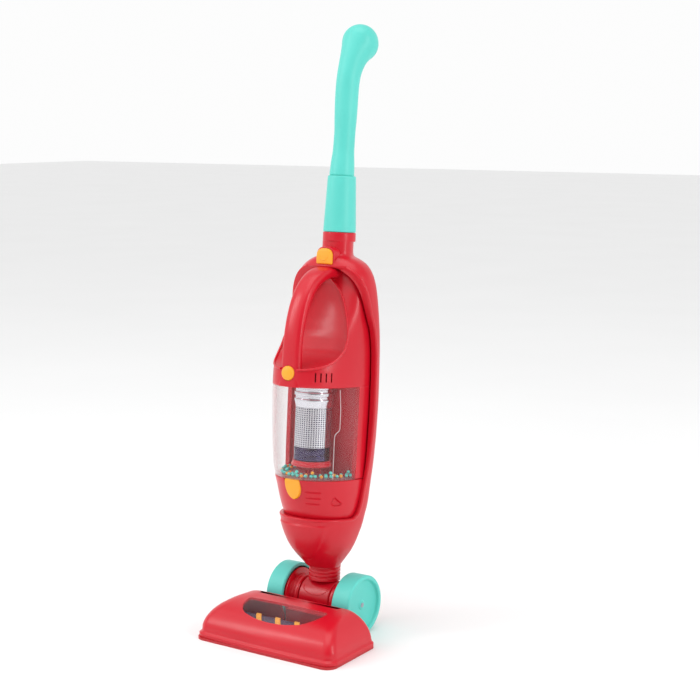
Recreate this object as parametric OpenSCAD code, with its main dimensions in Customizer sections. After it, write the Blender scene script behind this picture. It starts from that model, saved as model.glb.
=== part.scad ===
// Upright vacuum cleaner, toy size: a floor head with a brush roll and two big wheels, a
// reclining cradle on a pole with a curved grip, and a battery handheld that docks in the cradle.
// Millimetres. The origin is on the floor, straight below the wheel axle. The front is -Y.
// Upright parts are drawn in a frame whose origin is the axle and whose Z runs up the pole.

/* [Floor head] */
// Width of the head at its front lip
head_w = 176; // [150:2:204]
// Distance from the axle forward to the front lip
head_front = 112; // [104:1:134]
// Height of the hood
head_h = 40; // [36:1:46]
// Thickness of moulded walls in the head
head_wall = 2.4; // [1.8:0.2:3]
// Diameter of the brush roll over its bristle bands
brush_d = 26; // [20:1:28]

/* [Wheels] */
// Diameter of the two wheels
wheel_d = 64; // [54:1:76]
// Width of each wheel
wheel_w = 21.4; // [18:0.2:26]
// Distance between the inner edges of the wheels
wheel_gap = 64.4; // [62:0.2:78]
// Diameter of the steel axle
axle_d = 5; // [4:0.2:6]

/* [Handheld unit] */
// Width of the handheld unit
unit_w = 93; // [78:1:112]
// Furthest forward point of the dust cup, in front of the pole's centreline
unit_front = 81.5; // [70:0.5:98]
// Height of the base housing under the dust cup, above the lip
base_h = 42; // [36:1:50]
// Height of the clear dust cup
cup_h = 97; // [82:1:116]
// Height of the case and its handle above the dust cup
case_h = 123; // [110:1:146]
// Thickness of the handheld unit's walls
unit_wall = 2; // [1.6:0.2:2.4]
// Width of the handle strip
strip_w = 22; // [18:1:26]
// Diameter of the filter screen
filter_d = 38; // [32:1:42]
// Diameter of the round power button
button_d = 15; // [12:0.5:17]

/* [Cradle and pole] */
// Backward lean of the pole at rest, in degrees
lean = 4.5; // [2:0.5:8]
// Thickness of the cradle's walls
cradle_wall = 2.4; // [1.8:0.2:3]
// Width of the cradle's rim beside the unit
rim_w = 6; // [5:0.5:8]
// Height of the pocket's lip above the axle
lip_z = 94; // [88:1:104]
// Diameter of the pole ring on top of the cradle
ring_d = 34.4; // [31:0.2:38]
// Length of the tapered lower handle
collar_len = 59; // [50:1:72]
// Height of the curved grip from the seam to its ball's centre
grip_len = 140; // [120:1:168]
// Diameter of the ball at the top of the grip
ball_d = 39; // [34:1:44]

/* [Fits] */
// Gap between the docked unit and the cradle
dock_gap = 1.6; // [1.4:0.1:2]
// Gap round each push button
button_gap = 0.35; // [0.3:0.05:0.5]
// Gap between two moulded pieces that are screwed together
seat_gap = 0.15; // [0.1:0.05:0.3]
// Running clearance of the axle and shafts, on radius
run_gap = 0.05; // [0.02:0.01:0.1]

/* [Hidden] */
$fn = 48;

RED = "#d9142c";
TURQUOISE = "#7ae5dc";
YELLOW = "#ffb833";
NAVY = "#4a4560";
CLEAR = [0.85, 0.85, 0.88, 0.35];
STEEL = "#b9bcc2";
THIN = 0.02;          // thickness of the thin slices and overlaps that a hull or a cut is drawn with
FAR = 400;            // longer than anything it cuts
SIDES = 32;           // points round a lofted section

axle_z = wheel_d / 2;
axle_r = axle_d / 2;
pocket_z = lip_z - 10;          // floor of the pocket that the unit stands in
cup_z = lip_z + base_h;
cup_top = cup_z + cup_h;
case_top = cup_top + case_h;
ring_h = 9;
ring_z = case_top + 27;
collar_z = ring_z + ring_h;
seam_z = collar_z + collar_len;
neck_r = 17;
neck_top = 36;
barrel_r = 20;
barrel_w = 39;
unit_half = unit_w / 2;
unit_mid = -8;                  // where the unit is widest, front to back
unit_back = 17;
cup_edge = -17;                 // where the clear cup meets the red frame
cradle_back_y = unit_back + dock_gap + cradle_wall;

// ---------- shapes shared by several parts ----------

function signed_power(v, e) = sign(v) * pow(abs(v), e);

// A closed section: half width w, from y = -front to y = back, widest at y = mid. The front half
// is nearly an ellipse and the back half is boxier.
function section(w, front, back, mid, front_n = 2.15, back_n = 3.4) = [
  for (i = [0 : SIDES - 1])
    let (a = 360 * i / SIDES, n = sin(a) > 0 ? back_n : front_n)
    [w * signed_power(cos(a), 2 / n),
     mid + (sin(a) > 0 ? back - mid : mid + front) * signed_power(sin(a), 2 / n)]
];

// The solid between two [z, points] sections.
module between(low, high) {
  count = len(low[1]);
  ring = [for (i = [0 : count - 1]) i];
  hull()
    polyhedron(
      points = [for (s = [low, high]) for (p = s[1]) [p[0], p[1], s[0]]],
      faces = concat(
        [ring, [for (i = ring) 2 * count - 1 - i]],
        [for (i = ring) [i, i + count, (i + 1) % count + count, (i + 1) % count]]
      )
    );
}

// Joins a list of [z, points] sections into one solid.
module loft(rows) {
  for (i = [0 : len(rows) - 2])
    between(rows[i], rows[i + 1]);
}

// Puts a shape that is drawn on the pole's frame into the world.
module upright_frame() {
  translate([0, 0, axle_z]) rotate([-lean, 0, 0]) children();
}

// A side outline of [y, z] points, as wide as w along X.
module side_prism(points, w, grow = 0) {
  rotate([90, 0, 90]) translate([0, 0, -w / 2]) linear_extrude(w) offset(r = grow) polygon(points);
}

module across(x, d, w) {
  translate([x, 0, 0]) rotate([0, 90, 0]) cylinder(d = d, h = w, center = true);
}

// ---------- handheld unit: its outer form ----------

// Share of the unit's half width, front reach and back reach at a height between two levels.
function unit_row(z, w, front, back) = [z, w * unit_half, front * unit_front, back * unit_back];

base_rows = [
  unit_row(pocket_z + 2, 0.74, 0.53, 0.5),
  unit_row(pocket_z + 8, 0.83, 0.6, 0.62),
  unit_row(pocket_z + 16, 0.89, 0.65, 0.72),
  unit_row(pocket_z + 27, 0.94, 0.705, 0.8),
  unit_row(cup_z - 11, 0.975, 0.77, 0.86),
  unit_row(cup_z, 0.99, 0.835, 0.92)
];
cup_rows = [
  unit_row(cup_z, 0.99, 0.835, 0.92),
  unit_row(cup_z + 0.15 * cup_h, 0.996, 0.895, 0.95),
  unit_row(cup_z + 0.3 * cup_h, 1, 0.93, 0.98),
  unit_row(cup_z + 0.5 * cup_h, 1, 0.96, 1),
  unit_row(cup_z + 0.75 * cup_h, 1, 0.985, 1),
  unit_row(cup_top, 1, 1, 1)
];
case_rows = [
  unit_row(cup_top, 1, 1, 1),
  unit_row(cup_top + 0.12 * case_h, 0.995, 0.995, 1),
  unit_row(cup_top + 0.24 * case_h, 0.985, 0.94, 0.98),
  unit_row(cup_top + 0.36 * case_h, 0.97, 0.81, 0.95),
  unit_row(cup_top + 0.47 * case_h, 0.95, 0.62, 0.9),
  unit_row(cup_top + 0.57 * case_h, 0.915, 0.46, 0.84),
  unit_row(cup_top + 0.68 * case_h, 0.86, 0.34, 0.76),
  unit_row(cup_top + 0.78 * case_h, 0.78, 0.26, 0.66),
  unit_row(cup_top + 0.86 * case_h, 0.67, 0.2, 0.56),
  unit_row(cup_top + 0.92 * case_h, 0.54, 0.17, 0.46),
  unit_row(cup_top + 0.97 * case_h, 0.37, 0.15, 0.36),
  unit_row(case_top - 1, 0.22, 0.14, 0.28)
];

function grown_section(row, grow) =
  section(row[1] + grow, row[2] + grow, row[3] + grow, unit_mid);

function grown_rows(rows, grow) = [for (r = rows) [r[0], grown_section(r, grow)]];

module unit_form(rows, grow = 0) {
  loft(grown_rows(rows, grow));
}

// The handle strip, seen from the side: its outer curve, then its inner curve back down.
strip_front = unit_front + 6.5;
strip_t = 10;
function strip_point(reach, rise) = [-strip_front * reach, cup_top + rise * case_h];
strip_outer = [
  strip_point(0.93, 0), strip_point(0.975, 0.1), strip_point(1, 0.26), strip_point(0.995, 0.4),
  strip_point(0.965, 0.54), strip_point(0.915, 0.67), strip_point(0.83, 0.8),
  strip_point(0.72, 0.89), strip_point(0.58, 0.955), strip_point(0.42, 0.99),
  strip_point(0.2, 0.995)
];
strip_inner = [
  strip_point(0.1, 0.9), strip_point(0.36, 0.9), strip_point(0.52, 0.83), strip_point(0.66, 0.72),
  strip_point(0.8, 0.58), strip_point(0.872, 0.45), strip_point(0.88, 0.35),
  strip_point(0.87, 0.15), strip_point(0.7, 0)
];

// The finger opening, seen from the side: down the back of the strip, then up the concave bowl.
grip_hole = [
  strip_point(0.16, 0.89), strip_point(0.36, 0.9), strip_point(0.52, 0.83),
  strip_point(0.66, 0.72), strip_point(0.8, 0.58), strip_point(0.872, 0.45),
  strip_point(0.88, 0.35), strip_point(0.87, 0.155), strip_point(0.8, 0.15),
  strip_point(0.66, 0.185), strip_point(0.52, 0.26), strip_point(0.4, 0.37),
  strip_point(0.31, 0.5), strip_point(0.235, 0.7)
];

// ---------- floor head ----------

hood_corner = 12;
// Height share, half-width inset, front inset and rear inset of the hood's outline.
hood_rows = [
  [0.0, 0, 0, 0], [0.16, 0, 0, 0], [0.165, 1.6, 1.6, 0.3], [0.35, 2.6, 2.8, 1.4],
  [0.52, 4.6, 5.6, 2.6], [0.67, 8, 10.5, 4], [0.79, 12, 17, 5.6], [0.89, 17, 27, 7.4],
  [0.96, 24, 42, 9.6], [1.0, 34, 58, 13]
];
rear_y = -27;

module hood_slice(z, half, front, rear, corner) {
  translate([0, 0, z])
    for (side = [-1, 1]) {
      translate([side * (half - corner), -front + corner, 0]) cylinder(r = corner, h = THIN, $fn = 32);
      translate([side * (half * 0.965 - 4), rear - 4, 0]) cylinder(r = 4, h = THIN, $fn = 16);
    }
}

module hood_form(inset) {
  for (i = [0 : len(hood_rows) - 2])
    hull()
      for (r = [hood_rows[i], hood_rows[i + 1]])
        hood_slice(max(0, r[0] * head_h - inset), head_w / 2 - r[1] - inset,
          head_front - r[2] - inset, rear_y - r[3] - inset, hood_corner - inset / 2);
}

window_outline = [
  [-51, -62], [51, -61], [46, -84], [38, -96], [0, -102], [-38, -96], [-46, -84]
];
module window_prism(grow) {
  scale_x = head_w / 176;
  translate([0, 0, head_h / 2])
    linear_extrude(head_h)
      offset(r = grow)
        polygon([for (p = window_outline) [p[0] * scale_x, p[1] * head_front / 112]]);
}

wheel_clear = 1.6;
wheel_in = wheel_gap / 2;
wheel_out = wheel_in + wheel_w;
module wheel_wells() {
  for (side = [-1, 1])
    translate([0, 0, axle_z])
      across(side * (wheel_in + wheel_w / 2), wheel_d + 2 * wheel_clear, wheel_w + 2 * wheel_clear);
}

brush_y = -head_front + 35;
brush_z = brush_d / 2 + 3;
brush_half = head_w / 2 - 21;
plate_t = 2.6;
housing_in = barrel_w / 2 + 0.9;
disc_r = wheel_d / 2 - 5;
drum_r = min(21, disc_r - 3);

module hood() {
  color(RED)
    difference() {
      translate([0, 0, plate_t + seat_gap]) intersection() {
        translate([0, 0, -plate_t - seat_gap]) hood_form(0);
        translate([-FAR / 2, -FAR / 2, 0]) cube([FAR, FAR, FAR]);
      }
      difference() {
        translate([0, 0, -THIN]) hood_form(head_wall);
        at_head_screws() cylinder(d = screw_head_d + 1.6, h = head_h);
      }
      at_head_screws() translate([0, 0, -1]) cylinder(d = screw_d + 0.3, h = screw_len + 2);
      window_prism(0);
      wheel_wells();
      translate([-housing_in - 11, -60, -1]) cube([2 * housing_in + 22, 60, plate_t + 24]);
    }
}

module base_plate() {
  color(RED)
    difference() {
      union() {
        intersection() {
          hood_form(0);
          translate([-FAR / 2, -FAR / 2, 0]) cube([FAR, FAR, plate_t]);
        }
        translate([-wheel_in + 3, rear_y - 6, 0]) cube([2 * wheel_in - 6, 50, plate_t]);
      }
      translate([-brush_half - 3, brush_y - brush_d / 2 - 2, -1])
        cube([2 * brush_half + 6, brush_d + 4, plate_t + 2]);
      wheel_wells();
      at_head_screws() {
        translate([0, 0, -1]) cylinder(d = screw_head_d + 0.4, h = 2.9);
        cylinder(d = screw_d + 0.4, h = 2 * plate_t);
      }
    }
}

module hood_window() {
  color(CLEAR)
    intersection() {
      difference() {
        hood_form(0.5);
        translate([0, 0, -THIN]) hood_form(head_wall);
      }
      window_prism(-0.3);
    }
}

// The housing that carries the axle: two drums whose end discs reach into the wheels, on feet
// that stand on the base plate, and a front fairing under the upright's barrel.
module axle_housing() {
  color(RED)
    difference() {
      union() {
        for (side = [-1, 1])
          translate([0, 0, axle_z]) {
            across(side * (housing_in + wheel_in - 1.5) / 2, 2 * drum_r, wheel_in - 1.5 - housing_in);
            across(side * (wheel_in + 0.2), 2 * disc_r, 3.4);
          }
        for (side = [-1, 1])
          translate([side * (housing_in + 3.5) - 3.5, -12, plate_t])
            cube([7, 24, axle_z - plate_t]);
        translate([-housing_in - 7, -32, plate_t]) cube([2 * housing_in + 14, 14, 20]);
      }
      translate([0, 0, axle_z]) {
        across(0, 2 * (barrel_r + 0.8), 2 * housing_in);
        across(0, axle_d + 4, FAR);
      }
    }
}

module axle_bushes() {
  color("ivory")
    for (side = [-1, 1])
      translate([0, 0, axle_z])
        difference() {
          across(side * (housing_in + wheel_in + 1.9) / 2, axle_d + 4, wheel_in + 1.9 - housing_in);
          across(0, axle_d + 2 * run_gap, FAR);
        }
}

module brush_bearings() {
  color("ivory")
    for (side = [-1, 1])
      translate([side * (brush_half + 4.2), brush_y, 0])
        difference() {
          translate([-2, -5, plate_t]) cube([4, 10, brush_z + 5 - plate_t]);
          translate([0, 0, brush_z]) across(0, 4 + 2 * run_gap, 10);
        }
}

// Screws come up through the base plate into posts in the hood.
screw_d = 2.6;
screw_head_d = 5.4;
screw_len = 11;
module at_head_screws() {
  for (x = [-1, 1])
    for (y = [-0.88, -0.36])
      translate([x * (head_w / 2 - 14), y * head_front, 0]) children();
}

module head_screws() {
  color(STEEL)
    at_head_screws() {
      translate([0, 0, 0.5]) cylinder(d = screw_head_d, h = 1.3);
      translate([0, 0, 1.8]) cylinder(d = screw_d, h = screw_len - 1.8);
    }
}

// ---------- wheels ----------

rim_t = 3.7;
module wheel(side) {
  color(TURQUOISE)
    translate([0, 0, axle_z])
      difference() {
        across(side * (wheel_in + wheel_w / 2), wheel_d, wheel_w);
        across(side * (wheel_in + (wheel_w - 5) / 2 - 1), wheel_d - 2 * rim_t, wheel_w - 3);
        across(side * wheel_out, wheel_d - 2 * (rim_t + 1), 4);
        across(0, axle_d, FAR);
      }
}

module wheel_hub(side) {
  hub_in = wheel_in + 2.6;
  color(TURQUOISE)
    translate([0, 0, axle_z])
      difference() {
        across(side * (hub_in + wheel_out - 3) / 2, axle_d + 8, wheel_out - 3 - hub_in);
        across(0, axle_d, FAR);
      }
}

module wheel_left() {
  wheel(-1);
  wheel_hub(-1);
}

module wheel_right() {
  wheel(1);
  wheel_hub(1);
}

module wheel_axle() {
  color(STEEL) translate([0, 0, axle_z]) across(0, axle_d, 2 * wheel_out - 6);
}

// ---------- brush ----------

core_r = brush_d / 2 - 2;
module brush_roll() {
  color(NAVY)
    translate([0, brush_y, brush_z])
      difference() {
        across(0, 2 * core_r, 2 * brush_half);
        across(0, 4, FAR);
      }
}

// Rings of bristle, each tilted on the roll.
module brush_bands() {
  color(YELLOW)
    for (i = [-2 : 2])
      translate([i * brush_half * 0.4, brush_y, brush_z])
        difference() {
          intersection() {
            rotate([0, 0, 22]) across(0, FAR / 4, 7);
            across(0, brush_d, FAR / 4);
          }
          across(0, 2 * core_r, FAR / 4);
        }
}

module brush_shaft() {
  color(STEEL) translate([0, brush_y, brush_z]) across(0, 4, 2 * brush_half + 12);
}

// ---------- cradle ----------

// Height, half width, front and back of the cradle's outer form.
cradle_half = unit_half + dock_gap + rim_w;
function cradle_row(z, w, front, back) = [z, section(w, front, back, -4, 2.15, 3.6)];
rise = ring_z - cup_top;
cone = lip_z - neck_top;
front_lip = 0.6 * unit_front + dock_gap + cradle_wall + 3.5;
cradle_rows = [
  cradle_row(neck_top, neck_r + 1, neck_r + 4, neck_r - 3),
  cradle_row(neck_top + 0.1 * cone, 0.4 * cradle_half, 0.48 * front_lip, 13),
  cradle_row(neck_top + 0.24 * cone, 0.5 * cradle_half, 0.64 * front_lip, 12.5),
  cradle_row(neck_top + 0.42 * cone, 0.62 * cradle_half, 0.79 * front_lip, 13),
  cradle_row(neck_top + 0.66 * cone, 0.72 * cradle_half, 0.91 * front_lip, 15),
  cradle_row(neck_top + 0.85 * cone, 0.785 * cradle_half, 0.97 * front_lip, 16.5),
  cradle_row(lip_z, 0.82 * cradle_half, front_lip, 17.2),
  cradle_row(lip_z + 0.35 * base_h, 0.88 * cradle_half, front_lip + 2, 18),
  cradle_row(cup_z - 6, 0.92 * cradle_half, front_lip + 4, 18.6),
  cradle_row(cup_z + 0.15 * cup_h, 0.96 * cradle_half, front_lip + 4, cradle_back_y - 1.6),
  cradle_row(cup_z + 0.5 * cup_h, 0.99 * cradle_half, front_lip + 4, cradle_back_y - 0.3),
  cradle_row(cup_z + 0.85 * cup_h, cradle_half, front_lip + 4, cradle_back_y + 0.6),
  cradle_row(cup_top + 0.2 * rise, 0.99 * cradle_half, front_lip + 4, cradle_back_y - 0.4),
  cradle_row(cup_top + 0.34 * rise, 0.98 * cradle_half, front_lip + 4, cradle_back_y - 1.6),
  cradle_row(cup_top + 0.46 * rise, 0.96 * cradle_half, front_lip, cradle_back_y - 3.4),
  cradle_row(cup_top + 0.57 * rise, 0.93 * cradle_half, 44, cradle_back_y - 5),
  cradle_row(cup_top + 0.67 * rise, 0.89 * cradle_half, 36, cradle_back_y - 6.4),
  cradle_row(cup_top + 0.75 * rise, 0.82 * cradle_half, 30, cradle_back_y - 7.6),
  cradle_row(cup_top + 0.81 * rise, 0.72 * cradle_half, 27, cradle_back_y - 7.8),
  cradle_row(cup_top + 0.85 * rise, 0.6 * cradle_half, 25, cradle_back_y - 7),
  cradle_row(cup_top + 0.89 * rise, 0.46 * cradle_half, 24, 16)
];
neck_rows = [
  cradle_row(cup_top + 0.89 * rise, 0.46 * cradle_half, 24, 16),
  cradle_row(cup_top + 0.93 * rise, 20.5 * ring_d / 34.4, 21.5, 16.5),
  cradle_row(ring_z + 1, ring_d / 2 - 0.7, ring_d / 2 - 0.7, ring_d / 2 - 0.7)
];

// The open front, seen from the side: along the lip, round its corner and up the rim's edge.
open_front = [
  [-FAR, lip_z], [-16, lip_z], [-11, lip_z + 1.5],
  [-8, lip_z + 5], [-7, lip_z + 12], [-4, cup_z],
  [-1, cup_z + 0.4 * cup_h], [0.5, cup_z + 0.75 * cup_h],
  [0.5, cup_top + 0.21 * rise], [-3, cup_top + 0.38 * rise],
  [-9, cup_top + 0.5 * rise], [-14, cup_top + 0.65 * rise],
  [-18.3, cup_top + 0.757 * rise], [-23, case_top + 1.8],
  [-FAR, case_top + 1.8]
];

// The parting line between the cradle's front shell and its back cover.
back_line = [
  [6.5, neck_top + 3], [9, lip_z - 20], [12, lip_z + 20], [15.4, cup_z + 0.4 * cup_h],
  [16.6, cup_top + 0.8], [15.3, cup_top + 0.35 * rise], [11.8, cup_top + 0.58 * rise],
  [8.9, cup_top + 0.76 * rise], [8, cup_top + 0.83 * rise]
];
module back_region(grow) {
  side_prism(concat(back_line, [[FAR, cup_top + 0.83 * rise], [FAR, neck_top + 3]]), FAR, grow);
}

socket_r = 11;
unit_rows = concat(base_rows, [for (i = [1 : len(cup_rows) - 1]) cup_rows[i]],
  [for (i = [1 : len(case_rows) - 1]) case_rows[i]]);
// The unit's whole form, grown by the gap on every side. It is deeper at the foot, rises above
// the shoulders and stays open in front of them, so that the unit can tip forward out of it.
shoulder_z = cup_top + 0.3 * case_h;
function over_gap(z) = 3.6 * dock_gap * max(0, (z - shoulder_z) / (case_top - shoulder_z));
module dock_space() {
  loft([
    for (i = [0 : len(unit_rows) - 1])
      let (r = unit_rows[i], under = i == 0 ? 1.2 : 0)
      [r[0] - under + over_gap(r[0]),
       grown_section([r[0], r[1], max(r[2], 0.53 * unit_front), r[3]], dock_gap)]
  ]);
  side_prism(concat(strip_outer, strip_inner), strip_w + 2 * dock_gap, dock_gap);
}

// Hollow inside of the cone, from the neck's spigot up to the pocket floor.
module cone_space() {
  loft([
    [neck_top + 10, section(9, 13, 6, -4)],
    [neck_top + 24, section(neck_r, 30, 6, -4)],
    [lip_z - 26, section(0.55 * cradle_half, 0.7 * front_lip, 8, -4)],
    [pocket_z - 3, section(0.62 * cradle_half, 0.8 * front_lip, 9, -4)]
  ]);
}

latch_w = 19.4;
latch_h = 17.6;
latch_z = case_top + 10.6;
latch_y = -26;
latch_depth = 11;
module latch_shape(grow) {
  w = latch_w + 2 * grow;
  r = w / 2;
  hull() {
    translate([0, latch_h / 2 - r + grow, 0]) circle(r = r, $fn = 32);
    translate([-r, -latch_h / 2 - grow, 0]) square([w, 1]);
  }
}

module latch_pocket() {
  translate([0, latch_y + 12.6, latch_z]) rotate([90, 0, 0]) linear_extrude(FAR / 8) latch_shape(button_gap);
  translate([0, latch_y + 20, latch_z]) rotate([90, 0, 0]) cylinder(r = 4, h = 12);
}

module cradle_solid() {
  difference() {
    union() {
      loft(cradle_rows);
      loft(neck_rows);
      translate([0, 0, ring_z]) cylinder(d = ring_d, h = ring_h);
    }
    side_prism(open_front, FAR);
    dock_space();
    cone_space();
    latch_pocket();
    translate([0, 0, ring_z - 14]) cylinder(r = socket_r + 0.3, h = FAR);
    translate([0, 0, neck_top - 1]) cylinder(r = 9.3, h = 13);
  }
}

cradle_screw_z = lip_z - 12;
module cradle_screw_holes() {
  for (side = [-1, 1])
    translate([side * 12, FAR / 4, cradle_screw_z]) rotate([90, 0, 0]) cylinder(d = 6, h = FAR / 4 - 12);
}

module cradle_front() {
  color(RED)
    upright_frame()
      difference() {
        cradle_solid();
        back_region(0);
      }
}

module cradle_back() {
  color(RED)
    upright_frame()
      difference() {
        intersection() {
          cradle_solid();
          back_region(-seat_gap);
        }
        cradle_screw_holes();
      }
}

module cradle_screws() {
  color(STEEL)
    upright_frame()
      for (side = [-1, 1])
        translate([side * 12, 12, cradle_screw_z]) rotate([-90, 0, 0]) cylinder(d = 5.4, h = 1.8);
}

// The neck, whose barrel turns on the wheel axle.
module pivot_neck() {
  color(RED)
    upright_frame()
      difference() {
        union() {
          across(0, 2 * barrel_r, barrel_w);
          cylinder(r = neck_r, h = neck_top - seat_gap);
          cylinder(r = 9, h = neck_top + 10);
        }
        across(0, axle_d + 2 * run_gap, FAR);
        for (z = [24, 28, 32])
          translate([0, 0, z]) difference() {
            cylinder(r = neck_r + 1, h = 0.9);
            cylinder(r = neck_r - 0.7, h = 0.9);
          }
      }
}

// ---------- handle ----------

collar_top_d = 29.6;
module handle_lower() {
  color(TURQUOISE)
    upright_frame()
      difference() {
        union() {
          translate([0, 0, collar_z + seat_gap])
            cylinder(d1 = ring_d + 0.2, d2 = collar_top_d, h = collar_len - seat_gap);
          translate([0, 0, ring_z - 12]) cylinder(r = socket_r, h = collar_len);
        }
        translate([0, 0, ring_z - 20]) cylinder(r = socket_r - 2.2, h = collar_len + 60);
      }
}

// The grip's centreline: nearly straight, then hooked back into the ball.
ball_y = 23;
function grip_y(t) = ball_y * (0.1 * t + 0.9 * pow(t, 4.2));
function grip_r(t) =
  lookup(t, [[0, 12.9], [0.12, 11.6], [0.25, 10.9], [0.38, 11.1], [0.55, 11.6], [0.7, 12.1],
    [0.82, 13.2], [0.92, 15.5], [1, ball_d / 2]]);
grip_steps = 14;
module grip_ball(t) {
  translate([0, grip_y(t), seam_z + 13 + t * (grip_len - 13)])
    sphere(r = grip_r(t), $fn = 32);
}

module handle_upper() {
  color(TURQUOISE)
    upright_frame()
      difference() {
        union() {
          hull() {
            translate([0, 0, seam_z]) cylinder(r = 13.3, h = 0.1, $fn = 32);
            translate([0, grip_y(0), seam_z + 13]) cylinder(r = 12.6, h = 0.1, $fn = 32);
            grip_ball(0.08);
          }
          for (i = [1 : grip_steps - 1])
            hull() {
              grip_ball(i / grip_steps);
              grip_ball((i + 1) / grip_steps);
            }
        }
        plug_space(0);
        translate([0, 0, seam_z - THIN]) cylinder(r = 8, h = 30);
      }
}

// The flat oblique face under the back of the ball, which a plug closes.
module plug_place() {
  translate([0, ball_y, seam_z + grip_len]) rotate([-118, 0, 0]) children();
}

module plug_space(grow) {
  plug_place() {
    translate([0, 0, ball_d / 2 - 3.2]) cylinder(r = ball_d, h = ball_d);
    translate([0, 0, ball_d / 2 - 9]) cylinder(r = 9, h = ball_d);
  }
}

module handle_plug() {
  color(TURQUOISE)
    upright_frame()
      plug_place()
        translate([0, 0, ball_d / 2 - 8.8]) cylinder(r = 9 - seat_gap, h = 5);
}

// ---------- latch ----------

module latch_button() {
  color(YELLOW)
    upright_frame()
      translate([0, latch_y, latch_z])
        rotate([-90, 0, 0]) mirror([0, 1, 0])
          union() {
            linear_extrude(latch_depth - 3) latch_shape(0);
            translate([0, 0, -0.8]) cylinder(d = 9, h = 1);
          }
}

module latch_spring() {
  color(STEEL)
    upright_frame()
      translate([0, latch_y + latch_depth - 2.8, latch_z])
        rotate([-90, 0, 0])
          difference() {
            cylinder(d = 6, h = 11.4);
            translate([0, 0, -1]) cylinder(d = 4.6, h = 14);
          }
}

// ---------- handheld unit: pieces ----------

slot_rows = 4;
module vent_slots() {
  for (side = [-1, 1])
    for (i = [0 : slot_rows - 1])
      translate([side * (0.56 + 0.07 * i) * unit_half, -unit_front * (0.84 - 0.057 * i), cup_top + 6])
        rotate([0, 0, side * (32 + 6 * i)])
          translate([-0.8, -6, 0]) cube([1.6, 12, 9.5]);
}

button_z = cup_top + 14;
button_y = -(unit_front + 4.5);
module power_bore() {
  translate([0, button_y + 16, button_z]) rotate([90, 0, 0]) cylinder(d = button_d + 2 * button_gap, h = 30);
}

// The unit tips forward about a line across the lip, and its top is rounded about that line, so
// that it clears the latch on the way.
tip_y = -0.625 * unit_front;
top_r = case_top - lip_z + 1;
module tip_round() {
  translate([0, tip_y, lip_z]) rotate([0, 90, 0]) cylinder(r = top_r, h = FAR, center = true, $fn = 240);
}

module case_solid() {
  difference() {
    union() {
      intersection() {
        union() {
          unit_form(case_rows);
          side_prism(concat(strip_outer, strip_inner), strip_w);
        }
        tip_round();
      }
      intersection() {
        unit_form(cup_rows);
        translate([-FAR / 2, cup_edge, cup_z]) cube([FAR, FAR, FAR]);
      }
    }
    side_prism(grip_hole, FAR);
  }
}

frame_wall_y = -9;       // bulkhead between the cup and the battery room
module case_shell() {
  difference() {
    case_solid();
    // the room behind the cup and the room in the case, both inside the walls
    difference() {
      union() {
        unit_form(case_rows, -unit_wall);
        intersection() {
          unit_form(cup_rows, -unit_wall);
          translate([-FAR / 2, frame_wall_y + unit_wall, cup_z - 1]) cube([FAR, FAR, FAR]);
        }
      }
      side_prism(grip_hole, FAR, unit_wall);
      translate([-FAR / 2, -FAR, cup_top - 1]) cube([FAR, FAR + frame_wall_y, 1 + unit_wall]);
      translate([-FAR / 2, -FAR, case_top - 7]) cube([FAR, 2 * FAR, FAR]);
    }
    // the recess in front of the bulkhead, which the filter stands in
    translate([-unit_half + 5, cup_edge - 1, cup_z - 1])
      cube([unit_w - 10, frame_wall_y - cup_edge + 1 - unit_wall, cup_h + 1]);
    vent_slots();
    power_bore();
    door_space();
  }
}

module half(side) {
  intersection() {
    children();
    translate([side < 0 ? -FAR + -THIN / 2 : THIN / 2, -FAR / 2, 0]) cube([FAR, FAR, 2 * FAR]);
  }
}

module case_left() {
  color(RED) upright_frame() half(-1) case_shell();
}

module case_right() {
  color(RED) upright_frame() half(1) case_shell();
}

shield_w = 19.6;
shield_h = 21.6;
shield_z = cup_z - 11;
module shield_shape(grow) {
  w = shield_w / 2 + grow;
  top = shield_h / 2 - 1 + grow;
  offset(r = 1)
    polygon([[-w + 1, top], [w - 1, top], [w - 1.4, -1], [0.62 * w, -0.62 * top], [0, -top],
      [-0.62 * w, -0.62 * top], [-w + 1.4, -1]]);
}
shield_y = -0.775 * unit_front;
shield_depth = 7;
module shield_at(depth) {
  translate([0, shield_y, shield_z]) rotate([90, 0, 0]) translate([0, 0, -depth]) children();
}

module base_housing() {
  color(RED)
    upright_frame()
      difference() {
        unit_form(base_rows);
        difference() {
          unit_form(base_rows, -unit_wall);
          translate([-FAR / 2, -FAR / 2, 0]) cube([FAR, FAR, base_rows[0][0] + unit_wall]);
          translate([-FAR / 2, -FAR / 2, cup_z - unit_wall]) cube([FAR, FAR, FAR]);
        }
        shield_at(14) linear_extrude(FAR / 8) shield_shape(button_gap);
        translate([0, filter_y, cup_z - 10]) cylinder(r = 2.4, h = 20);
        for (i = [0 : 2])
          translate([14, -unit_front - 8, cup_z - 17 - 6.5 * i]) cube([12, 0.34 * unit_front, 0.9]);
      }
}

cup_wall = 1.6;
module dust_cup() {
  color(CLEAR)
    upright_frame()
      difference() {
        intersection() {
          unit_form(cup_rows);
          translate([-FAR / 2, -FAR, cup_z + seat_gap])
            cube([FAR, FAR + cup_edge - seat_gap, cup_h - 2 * seat_gap]);
        }
        intersection() {
          unit_form(cup_rows, -cup_wall);
          translate([-FAR / 2, -FAR, cup_z + cup_wall + seat_gap]) cube([FAR, FAR + 10, cup_h + 10]);
        }
        translate([0, filter_y, cup_z - 1]) cylinder(r = 3, h = 10);
      }
}

// A thin red liner behind the filter.
liner_t = 0.9;
module cup_back() {
  color(RED)
    upright_frame()
      translate([-unit_half + 5.4, frame_wall_y - unit_wall - liner_t - seat_gap, cup_z + 2.2])
        cube([unit_w - 10.8, liner_t, cup_h - 2.6]);
}

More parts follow.
